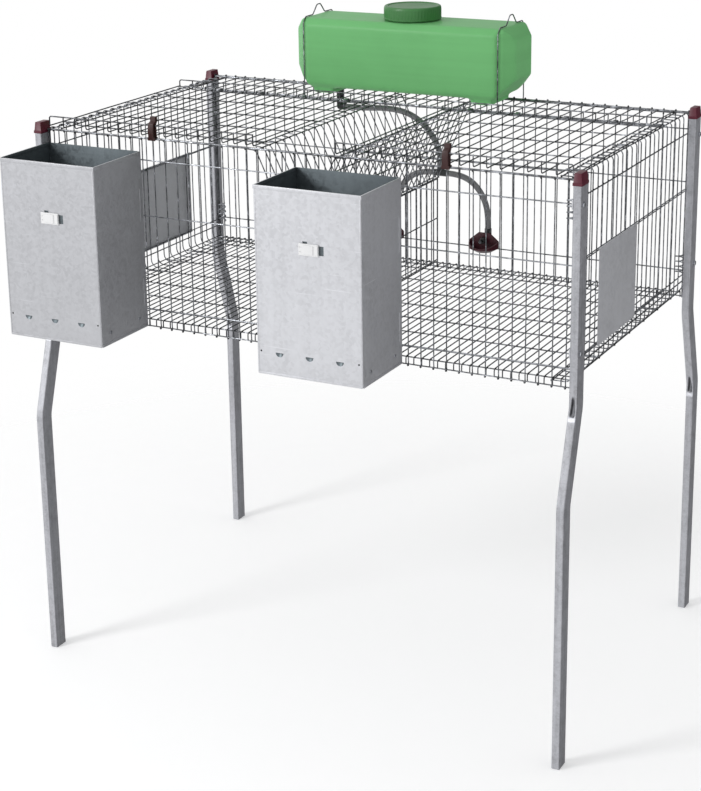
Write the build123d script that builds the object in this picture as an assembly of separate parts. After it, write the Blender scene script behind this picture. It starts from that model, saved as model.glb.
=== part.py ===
from build123d import *
import math
import os

os.makedirs("parts", exist_ok=True)

# Rabbit cage with two compartments on joggled legs, with hopper feeders, a hay rack and a water line.
# Millimetres. X runs to the right, Y to the back, Z up from the ground. Measures are taken from the middle
# of the wire box; on export the cage moves in Y so that its origin lies under the middle of its outline.

# Fits
GAP = 0.3
PLAY = 0.05
CUT = 1.0

# Legs and their caps
FRAME_WIDTH = 1066.0
FRAME_DEPTH = 630.0
LEG_WIDTH = 15.0
LEG_DEPTH = 30.0
LEG_WALL = 1.2
LEG_BELOW_ROOF = 9.3
LEG_KICK = 50.0
KICK_TOP = 640.0
KICK_BOTTOM = 480.0
BEND_RADIUS = 60.0
CAP_OVERHANG = 0.8
CAP_RIM = 5.0
CAP_HEIGHT = 20.5
CAP_TAPER = 1.6
CAP_PLUG = 18.0

# Bolts and clamp plates between the legs and the wire box
BOLT_RISE = 66.5
BOLT_DROP = 40.8
BOLT_RADIUS = 2.5
BOLT_INSET = 9.0
BOLT_HEAD_RADIUS = 4.5
BOLT_HEAD = 3.0
CLAMP_SHEET = 2.0
CLAMP_SIZE = 16.0

# Wire mesh: bar width, panel thickness and pitches
WIRE = 2.5
MESH = 3.0
PITCH = 24.0
REAR_PITCH = 23.3
FLOOR_PITCH = 15.0
FLOOR_STEP = 78.0
PANEL_INSET = 20.0
PANEL_LOW = 668.5
ROOF_LEVEL = 1025.8
FLOOR_LEVEL = 681.0
FRONT_LEVELS = (703.0, 879.0, 982.0)
REAR_LEVELS = (721.0, 894.0, 995.0)
WALL_LEVELS = (703.0, 989.0)
ROD_RADIUS = 2.0
REAR_ROD_RADIUS = 3.0
TOP_FLANGE = 29.0
BOTTOM_FLANGE = 40.0
FLANGE_WIRE = 8.5

# Roof doors, their hinge and their latches
HINGE_SETBACK = 135.0
DOOR_STEP = 104.0
DOOR_INNER = 80.0
DOOR_EDGE_GAP = 5.0
DOOR_REAR_GAP = 7.0
FRONT_LIP = 22.0
REAR_LIP = 17.0
LIP_OVERLAP = 3.5
STRIP_WIRE_STEP = 70.0
RING_WALL = 1.6
RING_LENGTH = 8.0
RING_TAB = 14.0
RING_TAB_SHEET = 1.2
RING_STEPS = (5.5, 9.5, 13.5, 17.5)
LATCH_STEPS = (-12, 12)
LATCH_JAW = 3.0
LATCH_BULGE = 2.0
LATCH_SLOT_FRONT = 2.3
LATCH_SLOT_REAR = 2.7
LATCH_BELOW_ROD = 2.5
LATCH_RISE = 14.0
LATCH_WIDTH = 11.0
LATCH_FOOT_WIDTH = 15.0
LATCH_FOOT = 6.0
LATCH_BRIDGE = 2.5
LATCH_NECK = 6.0
LATCH_HEAD_LEAN = 2.0
LATCH_HEAD_DEPTH = 7.0

# Hay rack and divider
RACK_TOP_HALF = 78.0
RACK_BOTTOM_HALF = 2.0
RACK_BELOW_ROOF = 5.8
RACK_BOTTOM = 855.0
DIVIDER_BAR = 771.0

# Hopper feeders
FEEDER_LEG_GAP = 2.5
FEEDER_MIDDLE_GAP = 4.5
FEEDER_WIDTH = 201.0
FEEDER_DEPTH = 148.0
FEEDER_LOW = 669.5
FEEDER_HEIGHT = 328.0
FEEDER_GAP = 0.5
SHEET = 1.0
MOUTH_STEPS = 7
MOUTH_TOP = 800.0
MOUTH_LIP = 45.0
BAFFLE_REACH = 58.0
BAFFLE_DROP = 64.0
CHUTE_RISE = 150.0
CHUTE_END = 98.0
HOOK_WIDTH = 11.0
HOOK_DROP = 13.0
HOOK_PLAY = 0.8
HOOK_STEPS = 3
SLOT_STEP = 57.5
SLOT_RADIUS = 7.5
SLOT_RISE = 41.0
PIN_HOLE_STEP = 93.0
PIN_HOLE_RADIUS = 1.6
CLIP_WIDTH = 37.0
CLIP_HEIGHT = 20.5
CLIP_DEPTH = 4.5
CLIP_SHIFT = 3.0
CLIP_RISE = 228.0
CLIP_CORNER = 3.0
CLIP_SLOT_WIDTH = 9.0
CLIP_SLOT_HEIGHT = 16.0
CLIP_TONGUE_WIDTH = 20.0
CLIP_TONGUE_HEIGHT = 8.0
RIVET_RADIUS = 1.9
RIVET_HEAD_RADIUS = 3.0
RIVET_HEAD = 1.1
RIVET_RISE = 22.0
RIVET_PLACES = (28.0, 120.0)

# Hatch plates on the side walls
HATCH_LOW_RAIL = 716.0
HATCH_TOP_RAIL = 880.0
HATCH_WIDTH = 190.0
HATCH_SHEET = 0.8
HATCH_HANG = 4.0
HATCH_STEPS = 6
HATCH_OFFSET = 95.0

# Water tank
TANK_X = -36.0
TANK_BEYOND_PANEL = 29.0
TANK_LENGTH = 470.0
TANK_DEPTH = 134.0
TANK_HEIGHT = 136.0
TANK_LIFT = 12.0
TANK_WALL = 3.0
TANK_PLAN_CUT = 28.0
TANK_LOW_CUT = 38.0
TANK_HIGH_CUT = 22.0
TANK_EDGE_CUT = 9.0
TANK_FOOT_LENGTH = 36.0
TANK_FOOT_DEPTH = 90.0
TANK_FOOT_FROM_END = 65.0
TANK_FOOT_SETBACK = 8.0
HANGER_FROM_END = 27.0
HANGER_RADIUS = 1.5
HANGER_BEND = 4.0
HANGER_HOOK = 8.0
HANGER_BELOW = 4.8
HANGER_LOOP = 28.0
HANGER_LOOP_HALF = 17.0
GROOVE_WIDTH = 6.0
GROOVE_DEPTH = 4.0
NECK_RADIUS = 47.0
NECK_WALL = 4.0
NECK_HEIGHT = 20.0
LID_RADIUS = 56.5
LID_HEIGHT = 26.0
LID_TOP = 4.0
LID_LIFT = 2.0
SEAL_WIDTH = 7.0

# Water line
LINE_BEHIND_PANEL = 14.0
HOSE_RADIUS = 6.0
HOSE_BORE = 4.0
BARB_LENGTH = 12.0
FITTING_RADIUS = 7.0
OUTLET_FROM_END = 45.0
OUTLET_DEPTH = 9.0
OUTLET_NUT_RADIUS = 10.0
OUTLET_NUT = 6.0
OUTLET_BELOW_ROOF = 44.8
OUTLET_REACH = 14.0
TEE_LEVEL = 862.0
TEE_REACH = 14.0
TEE_RISE = 12.0
DRINKER_STEPS = 4.5
DRINKER_LEVEL = 738.0
DRINKER_RISE = 19.0
VALVE_RADIUS = 6.0
VALVE_BEFORE_PANEL = 17.0
CUP_RADIUS = 31.0
CUP_FLOOR_RADIUS = 17.0
CUP_LOW = 715.0
CUP_BOWL = 8.0
CUP_FRONT_RISE = 10.0
CUP_SHOULDER = 22.0
CUP_HEIGHT = 37.5
CUP_TOP_HALF = 12.0
CUP_WALL = 2.5
CUP_PLATE = 3.0
CUP_BEHIND_GAP = 4.0
PUSH_PIN_RADIUS = 2.0
PUSH_PIN_OUT = 10.0
PUSH_PIN_IN = 20.0
PUSH_HEAD_RADIUS = 3.6
PUSH_HEAD = 3.0

# Hose routes as bends in X and Z, in the plane behind the rear panel
FEED_BENDS = ((-122.0, 985.0), (-80.0, 981.0), (-50.0, 968.0), (-27.0, 948.0), (-9.0, 923.0))
RIGHT_BENDS = ((75.0, 847.0), (96.5, 817.0))
LEFT_BENDS = ((-74.0, 845.0), (-96.0, 815.0))
FEED_START = 42.0
FEED_END = 23.0
BRANCH_START = 28.0
BRANCH_END = 28.0
BEND_SHARE = 0.45

# Places that follow from the sizes above
leg_inner_x = FRAME_WIDTH / 2 - LEG_WIDTH
leg_x = (FRAME_WIDTH - LEG_WIDTH) / 2
leg_y = (FRAME_DEPTH - LEG_DEPTH) / 2
panel_y = FRAME_DEPTH / 2 - PANEL_INSET
leg_top = ROOF_LEVEL - LEG_BELOW_ROOF
bolt_levels = (PANEL_LOW + BOLT_RISE, ROOF_LEVEL - BOLT_DROP)
hinge_back = panel_y - HINGE_SETBACK
rack_top = ROOF_LEVEL - RACK_BELOW_ROOF
line_back = panel_y + LINE_BEHIND_PANEL
valve_front = panel_y - VALVE_BEFORE_PANEL
outlet_level = ROOF_LEVEL - OUTLET_BELOW_ROOF
feeder_centres = {
    "left": FEEDER_LEG_GAP + FEEDER_WIDTH / 2 - leg_inner_x,
    "right": FEEDER_MIDDLE_GAP + FEEDER_WIDTH / 2,
}
panel_half = leg_inner_x - CLAMP_SHEET
rod_half = leg_inner_x - CAP_OVERHANG - GAP
wall_outer_x = rod_half
wall_x = wall_outer_x - MESH / 2
inside_y = panel_y - max(MESH / 2, ROD_RADIUS) - GAP
inside_x = wall_x - MESH / 2 - GAP
roof_under = ROOF_LEVEL - MESH / 2
roof_over = ROOF_LEVEL + MESH / 2
front_rod_z = roof_under - GAP - ROD_RADIUS
rear_rod_y = inside_y + GAP + REAR_ROD_RADIUS
flange_inner_x = wall_outer_x - TOP_FLANGE
strip_half = flange_inner_x - GAP
door_outer_x = flange_inner_x - DOOR_EDGE_GAP
feeder_back = -panel_y - MESH / 2 - FEEDER_GAP
feeder_front = feeder_back - FEEDER_DEPTH
tank_low = roof_over + GAP + TANK_LIFT
tank_top = tank_low + TANK_HEIGHT
tank_front = panel_y + TANK_BEYOND_PANEL - TANK_DEPTH
tank_middle = tank_front + TANK_DEPTH / 2
hanger_spacing = TANK_LENGTH / 2 - HANGER_FROM_END
foot_spacing = TANK_LENGTH / 2 - TANK_FOOT_FROM_END
outlet_x = TANK_X - TANK_LENGTH / 2 + OUTLET_FROM_END
drinker_x = DRINKER_STEPS * REAR_PITCH
rear_reach = FRAME_DEPTH / 2 + LEG_KICK
front_reach = CLIP_DEPTH - feeder_front
SHIFT = (front_reach - rear_reach) / 2

SIDES = {"left": -1, "right": 1}
ENDS = {"front": -1, "rear": 1}


def save(name, *solids):
    """Write one node, moved to the cage's own origin."""
    pieces = [solid for shape in solids for solid in shape.solids()]
    shape = pieces[0] if len(pieces) == 1 else Compound(pieces)
    export_step(shape.moved(Location((0, SHIFT, 0))), f"parts/{name}.step")


def block(low, high):
    """Box between two opposite corners."""
    size = [top - bottom for bottom, top in zip(low, high)]
    middle = [(top + bottom) / 2 for bottom, top in zip(low, high)]
    return Pos(*middle) * Box(*size)


def rod(start, end, radius):
    """Round bar between two points."""
    way = Vector(*end) - Vector(*start)
    return Solid.make_cylinder(radius, way.length, Plane(origin=start, z_dir=way))


def lines(low, high, pitch):
    """Multiples of the pitch that keep clear of both edges."""
    margin = WIRE + pitch / 4
    first = math.ceil((low + margin) / pitch)
    last = math.floor((high - margin) / pitch)
    return [pitch * step for step in range(first, last + 1)]


def rectangle(left, right, low, high):
    """Closed rectangular wire in the drawing plane."""
    return Wire.make_polygon([(left, low), (right, low), (right, high), (left, high)], close=True)


def cells(us, vs, windows):
    """Openings between the bars, with the openings inside a window cut back to its frame."""
    half = WIRE / 2
    found = [(ua + half, ub - half, va + half, vb - half) for ua, ub, va, vb in windows]
    for ua, ub in zip(us, us[1:]):
        for va, vb in zip(vs, vs[1:]):
            spans = [(va + half, vb - half)]
            for left, right, low, high in windows:
                if left <= (ua + ub) / 2 <= right:
                    below = [(a, min(b, low - half)) for a, b in spans]
                    above = [(max(a, high + half), b) for a, b in spans]
                    spans = below + above
            found += [(ua + half, ub - half, a, b) for a, b in spans if b - a > WIRE]
    return found


def grid(u_span, v_span, u_lines, v_lines, windows=(), comb=False):
    """Flat wire panel; a comb panel has no bar along its lower edge."""
    half = WIRE / 2
    us = [u_span[0] + half, *u_lines, u_span[1] - half]
    vs = [v_span[0] + half, *v_lines, v_span[1] - half]
    low, high = v_span
    edge = []
    if comb:
        vs = vs[1:]
        for ua, ub in zip(us, us[1:]):
            edge += [(ua + half, low), (ua + half, vs[0] - half), (ub - half, vs[0] - half), (ub - half, low)]
    outline = [(u_span[0], low), *edge, (u_span[1], low), (u_span[1], high), (u_span[0], high)]
    holes = [rectangle(*cell) for cell in cells(us, vs, windows)]
    sheet = Face(Wire.make_polygon(outline, close=True), holes)
    return Pos(0, 0, -MESH / 2) * extrude(sheet, amount=MESH)


def upright(shape, y):
    """Turn a drawing in X and Z up into the plane across the cage at the given depth."""
    return Pos(0, y, 0) * (Plane.XZ * shape)


def lengthwise(shape, x):
    """Turn a drawing in Y and Z up into the plane along the cage at the given width."""
    return Pos(x, 0, 0) * (Plane.YZ * shape)


def cut_corners(width, height, low_cut, high_cut):
    """Rectangle about the origin with cut corners, as a face."""
    right, top = width / 2, height / 2
    half = [
        (right - low_cut, -top), (right, -top + low_cut),
        (right, top - high_cut), (right - high_cut, top),
    ]
    return make_face(Polyline(*half, *[(-u, v) for u, v in reversed(half)], close=True))


def tube_route(points):
    """Straight runs with tangent arcs that use most of the shorter run on each bend."""
    spots = [Vector(x, line_back, z) for x, z in points]
    runs = [after - before for before, after in zip(spots, spots[1:])]
    radii = []
    for before, after in zip(runs, runs[1:]):
        half_turn = math.radians(before.get_angle(after)) / 2
        radii.append(BEND_SHARE * min(before.length, after.length) / math.tan(half_turn))
    return FilletPolyline(*spots, radius=radii), radii


def hose(name, points):
    """Hollow hose along its route."""
    route, radii = tube_route(points)
    start = Plane(origin=route @ 0, z_dir=route % 0)
    section = start * (Circle(HOSE_RADIUS) - Circle(HOSE_BORE))
    shape = sweep(section, path=route)
    area = math.pi * (HOSE_RADIUS ** 2 - HOSE_BORE ** 2)
    print(name, "length", round(route.length, 1), "radii", [round(r, 1) for r in radii])
    print(name, "volume over section and length", round(shape.volume / (area * route.length), 4))
    save(name, shape)


# Legs: joggled tube, open at the foot, drawn for a rear corner and turned round for a front one
def leg_face(inset, ends):
    half = LEG_DEPTH / 2 - inset
    lean = math.atan2(LEG_KICK, KICK_TOP - KICK_BOTTOM)
    mitre = half * math.tan(lean / 2)
    tight, wide = BEND_RADIUS - half, BEND_RADIUS + half
    points = [
        (half, leg_top + ends), (half, KICK_TOP + mitre),
        (LEG_KICK + half, KICK_BOTTOM + mitre), (LEG_KICK + half, -ends),
        (LEG_KICK - half, -ends), (LEG_KICK - half, KICK_BOTTOM - mitre),
        (-half, KICK_TOP - mitre), (-half, leg_top + ends),
    ]
    radii = [0, tight, wide, 0, 0, tight, wide, 0]
    return Plane.YZ * make_face(FilletPolyline(*points, radius=radii, close=True))


bolt_y = LEG_DEPTH / 2 - BOLT_INSET
leg = extrude(leg_face(0, 0), amount=LEG_WIDTH / 2, both=True)
leg -= extrude(leg_face(LEG_WALL, CUT), amount=LEG_WIDTH / 2 - LEG_WALL, both=True)
for level in bolt_levels:
    leg -= rod((-LEG_WIDTH, bolt_y, level), (LEG_WIDTH, bolt_y, level), BOLT_RADIUS + GAP)

rim_width = LEG_WIDTH + 2 * CAP_OVERHANG
rim_depth = LEG_DEPTH + 2 * CAP_OVERHANG
cap_base = Plane.XY.offset(leg_top + CAP_RIM) * Rectangle(LEG_WIDTH, LEG_DEPTH)
cap_head = Rectangle(LEG_WIDTH - 2 * CAP_TAPER, LEG_DEPTH - 2 * CAP_TAPER)
cap_end = Plane.XY.offset(leg_top + CAP_HEIGHT) * cap_head
plug_width = LEG_WIDTH - 2 * LEG_WALL - 2 * GAP
plug_depth = LEG_DEPTH - 2 * LEG_WALL - 2 * GAP
cap = loft([cap_base, cap_end], ruled=True)
cap += Pos(0, 0, leg_top + CAP_RIM / 2) * Box(rim_width, rim_depth, CAP_RIM)
cap += Pos(0, 0, leg_top - CAP_PLUG / 2) * Box(plug_width, plug_depth, CAP_PLUG)

bolts = []
clamps = []
for end, away in ENDS.items():
    turn = Rot(Z=0 if away > 0 else 180)
    for side, out in SIDES.items():
        corner = Pos(out * leg_x, away * leg_y, 0)
        save(f"{end}_{side}_leg", corner * turn * leg)
        save(f"{end}_{side}_cap", corner * cap)
        for level in bolt_levels:
            spot = away * (leg_y + bolt_y)
            outer = out * FRAME_WIDTH / 2
            inner = out * panel_half
            shank = rod((inner, spot, level), (outer, spot, level), BOLT_RADIUS)
            head = rod((outer, spot, level), (outer + out * BOLT_HEAD, spot, level), BOLT_HEAD_RADIUS)
            bolts.append(shank + head)
            plate = Pos(out * (panel_half + CLAMP_SHEET / 2), spot, level)
            hole = rod((inner - out * CUT, spot, level), (outer, spot, level), BOLT_RADIUS + PLAY)
            clamps.append(plate * Box(CLAMP_SHEET, CLAMP_SIZE, CLAMP_SIZE) - hole)
save("leg_bolts", *bolts)
save("clamp_plates", *clamps)

# Front and rear panels, with a feeding mouth behind each feeder
panel_us = lines(-panel_half, panel_half, PITCH)
mouths = []
for centre in feeder_centres.values():
    first = PITCH * round((centre - MOUTH_STEPS * PITCH / 2) / PITCH)
    mouths.append((first, first + MOUTH_STEPS * PITCH, FRONT_LEVELS[0], MOUTH_TOP))
front_top = front_rod_z - ROD_RADIUS - GAP
front = grid((-panel_half, panel_half), (PANEL_LOW, front_top), panel_us, FRONT_LEVELS, windows=mouths)
save("front_panel", upright(front, -panel_y))
front_rod = rod((-rod_half, -panel_y, front_rod_z), (rod_half, -panel_y, front_rod_z), ROD_RADIUS)
save("front_top_rod", front_rod)

rear_us = lines(-panel_half, panel_half, REAR_PITCH)
rear_top = ROOF_LEVEL - REAR_ROD_RADIUS - GAP
rear = grid((-panel_half, panel_half), (PANEL_LOW, rear_top), rear_us, REAR_LEVELS)
save("rear_panel", upright(rear, panel_y))
rear_rod = rod((-rod_half, rear_rod_y, ROOF_LEVEL), (rod_half, rear_rod_y, ROOF_LEVEL), REAR_ROD_RADIUS)
save("rear_top_rod", rear_rod)

# Floor, side walls with a hatch opening and its two rails, and the walls' turned-in edges
floor_us = lines(-inside_x, inside_x, FLOOR_PITCH)
floor_vs = lines(-inside_y, inside_y, FLOOR_STEP)
floor = grid((-inside_x, inside_x), (-inside_y, inside_y), floor_us, floor_vs)
save("floor_panel", Pos(0, 0, FLOOR_LEVEL) * floor)

depth_lines = lines(-inside_y, inside_y, PITCH)
bottom_level = FLOOR_LEVEL - MESH - GAP
wall_low = bottom_level + MESH / 2 + GAP
wall_high = roof_under - GAP
wall_levels = sorted((*WALL_LEVELS, HATCH_LOW_RAIL, HATCH_TOP_RAIL))
rail_half = leg_y - LEG_DEPTH / 2 - GAP
for side, out in SIDES.items():
    hatch_y = -out * HATCH_OFFSET
    hatch_first = PITCH * round((hatch_y - HATCH_STEPS * PITCH / 2) / PITCH)
    hatch = (hatch_first, hatch_first + HATCH_STEPS * PITCH, HATCH_LOW_RAIL, HATCH_TOP_RAIL)
    sheet = grid((-inside_y, inside_y), (wall_low, wall_high), depth_lines, wall_levels, windows=[hatch])
    wall = lengthwise(sheet, out * wall_x)
    for level in (HATCH_LOW_RAIL, HATCH_TOP_RAIL):
        rail_x = out * (wall_x + (MESH + WIRE) / 2)
        wall += Pos(rail_x, 0, level) * Box(WIRE, 2 * rail_half, WIRE)
    save(f"{side}_wall", wall)

    flanges = []
    for level, reach in ((ROOF_LEVEL, TOP_FLANGE), (bottom_level, BOTTOM_FLANGE)):
        ends = sorted((out * (wall_outer_x - reach), out * wall_outer_x))
        runner = [out * (wall_outer_x - FLANGE_WIRE)]
        flanges.append(Pos(0, 0, level) * grid(ends, (-inside_y, inside_y), runner, depth_lines))
    save(f"{side}_flanges", *flanges)

    plate_x = wall_outer_x + WIRE + GAP
    lip_low = HATCH_TOP_RAIL + WIRE / 2 + GAP
    plate_ends = (hatch_y - HATCH_WIDTH / 2, hatch_y + HATCH_WIDTH / 2)
    low = (plate_x, plate_ends[0], HATCH_LOW_RAIL - HATCH_HANG)
    high = (plate_x + HATCH_SHEET, plate_ends[1], lip_low + HATCH_SHEET)
    plate = block(low, high)
    plate += block((wall_outer_x + GAP, plate_ends[0], lip_low), high)
    if out < 0:
        plate = mirror(plate, about=Plane.YZ)
    save(f"{side}_hatch_plate", plate)

# Fixed roof strip behind the hinge rod
strip_front = hinge_back + ROD_RADIUS + PLAY
strip_us = lines(-strip_half, strip_half, PITCH)
strip_wire = hinge_back + STRIP_WIRE_STEP
strip = grid((-strip_half, strip_half), (strip_front, inside_y), strip_us, [strip_wire], comb=True)
save("roof_strip", Pos(0, 0, ROOF_LEVEL) * strip)
hinge_half = flange_inner_x - GAP
hinge = rod((-hinge_half, hinge_back, ROOF_LEVEL), (hinge_half, hinge_back, ROOF_LEVEL), ROD_RADIUS)
save("hinge_rod", hinge)

# Roof doors with turned-up edges and arms that rest on the walls' flanges, drawn for the right side
door_front = -panel_y - MESH / 2
door_rear = hinge_back - DOOR_REAR_GAP
door_us = lines(DOOR_INNER, door_outer_x, PITCH)
door_bars = math.floor((hinge_back - door_front - WIRE - DOOR_STEP / 4) / DOOR_STEP)
door_vs = [hinge_back - DOOR_STEP * step for step in range(door_bars, 0, -1)]
door = Pos(0, 0, ROOF_LEVEL) * grid((DOOR_INNER, door_outer_x), (door_front, door_rear), door_us, door_vs)
lip_end = panel_half - LIP_OVERLAP
rest_low = roof_over + GAP
for lip_rise, lip_y in ((FRONT_LIP, -panel_y), (REAR_LIP, door_rear - MESH / 2)):
    lip_span = (ROOF_LEVEL, ROOF_LEVEL + lip_rise)
    lip = grid((DOOR_INNER, lip_end), lip_span, [*door_us, door_outer_x], [], comb=True)
    lip -= block((door_outer_x + WIRE, ROOF_LEVEL, -MESH), (lip_end, rest_low, MESH))
    door += upright(lip, lip_y)
door += block((lip_end - WIRE, door_front, rest_low), (lip_end, door_rear, rest_low + MESH))
for spot in door_vs:
    arm_end = (lip_end, spot + WIRE / 2, rest_low + MESH)
    door += block((door_outer_x - WIRE, spot - WIRE / 2, rest_low), arm_end)
    door += block((door_outer_x - WIRE, spot - WIRE / 2, ROOF_LEVEL), (door_outer_x, *arm_end[1:]))

ring_radius = ROD_RADIUS + PLAY + RING_WALL
rings = []
for step in RING_STEPS:
    middle = step * PITCH
    ends = (middle - RING_LENGTH / 2, middle + RING_LENGTH / 2)
    tab_low = roof_over + PLAY
    ring = rod((ends[0], hinge_back, ROOF_LEVEL), (ends[1], hinge_back, ROOF_LEVEL), ring_radius)
    ring += block(
        (ends[0], hinge_back - RING_TAB, tab_low),
        (ends[1], hinge_back, tab_low + RING_TAB_SHEET),
    )
    bore = ((ends[0] - CUT, hinge_back, ROOF_LEVEL), (ends[1] + CUT, hinge_back, ROOF_LEVEL))
    ring -= rod(*bore, ROD_RADIUS + PLAY)
    rings.append(ring)

# Snap latch: a plastic clip over the door's lip with a leaning thumb tab; its jaws straddle the front top rod
latch_low = front_rod_z - LATCH_BELOW_ROD
lip_top = ROOF_LEVEL + FRONT_LIP
latch_top = lip_top + LATCH_RISE
jaw_front = -LATCH_SLOT_FRONT - LATCH_JAW
jaw_rear = LATCH_SLOT_REAR + LATCH_JAW
head_rear = LATCH_HEAD_LEAN + LATCH_HEAD_DEPTH
latch_line = [
    (jaw_front, latch_low), (jaw_front - LATCH_BULGE, (roof_over + lip_top) / 2),
    (jaw_front, lip_top + LATCH_BRIDGE), (LATCH_HEAD_LEAN, lip_top + LATCH_NECK),
    (LATCH_HEAD_LEAN, latch_top), (head_rear, latch_top),
    (head_rear, lip_top + LATCH_NECK), (jaw_rear, lip_top), (jaw_rear, latch_low),
]
latch = extrude(Plane.YZ * make_face(Polyline(*latch_line, close=True)), amount=LATCH_WIDTH / 2, both=True)
foot_half = LATCH_FOOT_WIDTH / 2
latch += block((-foot_half, jaw_front, latch_low), (foot_half, jaw_rear, latch_low + LATCH_FOOT))
latch -= block(
    (-LATCH_FOOT_WIDTH, -LATCH_SLOT_FRONT, latch_low - CUT),
    (LATCH_FOOT_WIDTH, LATCH_SLOT_REAR, lip_top + GAP),
)
notch_half = WIRE / 2 + PLAY
latch -= block((-notch_half, 0, roof_under - PLAY), (notch_half, jaw_rear + CUT, roof_over + PLAY))

save("right_door", door)
save("left_door", mirror(door, about=Plane.YZ))
save("right_hinge_rings", *rings)
save("left_hinge_rings", *[mirror(ring, about=Plane.YZ) for ring in rings])
for side, step in zip(SIDES, LATCH_STEPS):
    save(f"{side}_latch", Pos(step * PITCH, -panel_y, 0) * latch)

# Hay rack: two slanted panels, and the divider under them
rack_rise = rack_top - RACK_BOTTOM
rack_run = RACK_TOP_HALF - RACK_BOTTOM_HALF
rack_slant = math.hypot(rack_rise, rack_run)
rack = grid((-inside_y, inside_y), (0, rack_slant), depth_lines, [rack_slant / 2])
for side, out in SIDES.items():
    up = Vector(out * rack_run, 0, rack_rise)
    along = Vector(0, 1, 0)
    tilted = Plane(origin=(out * RACK_BOTTOM_HALF, 0, RACK_BOTTOM), x_dir=along, z_dir=along.cross(up))
    save(f"{side}_rack_panel", tilted * rack)
divider_low = FLOOR_LEVEL + MESH / 2 + GAP
divider_high = RACK_BOTTOM - GAP - MESH / 2
divider = grid((-inside_y, inside_y), (divider_low, divider_high), depth_lines, [DIVIDER_BAR])
save("divider", lengthwise(divider, 0))

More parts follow.
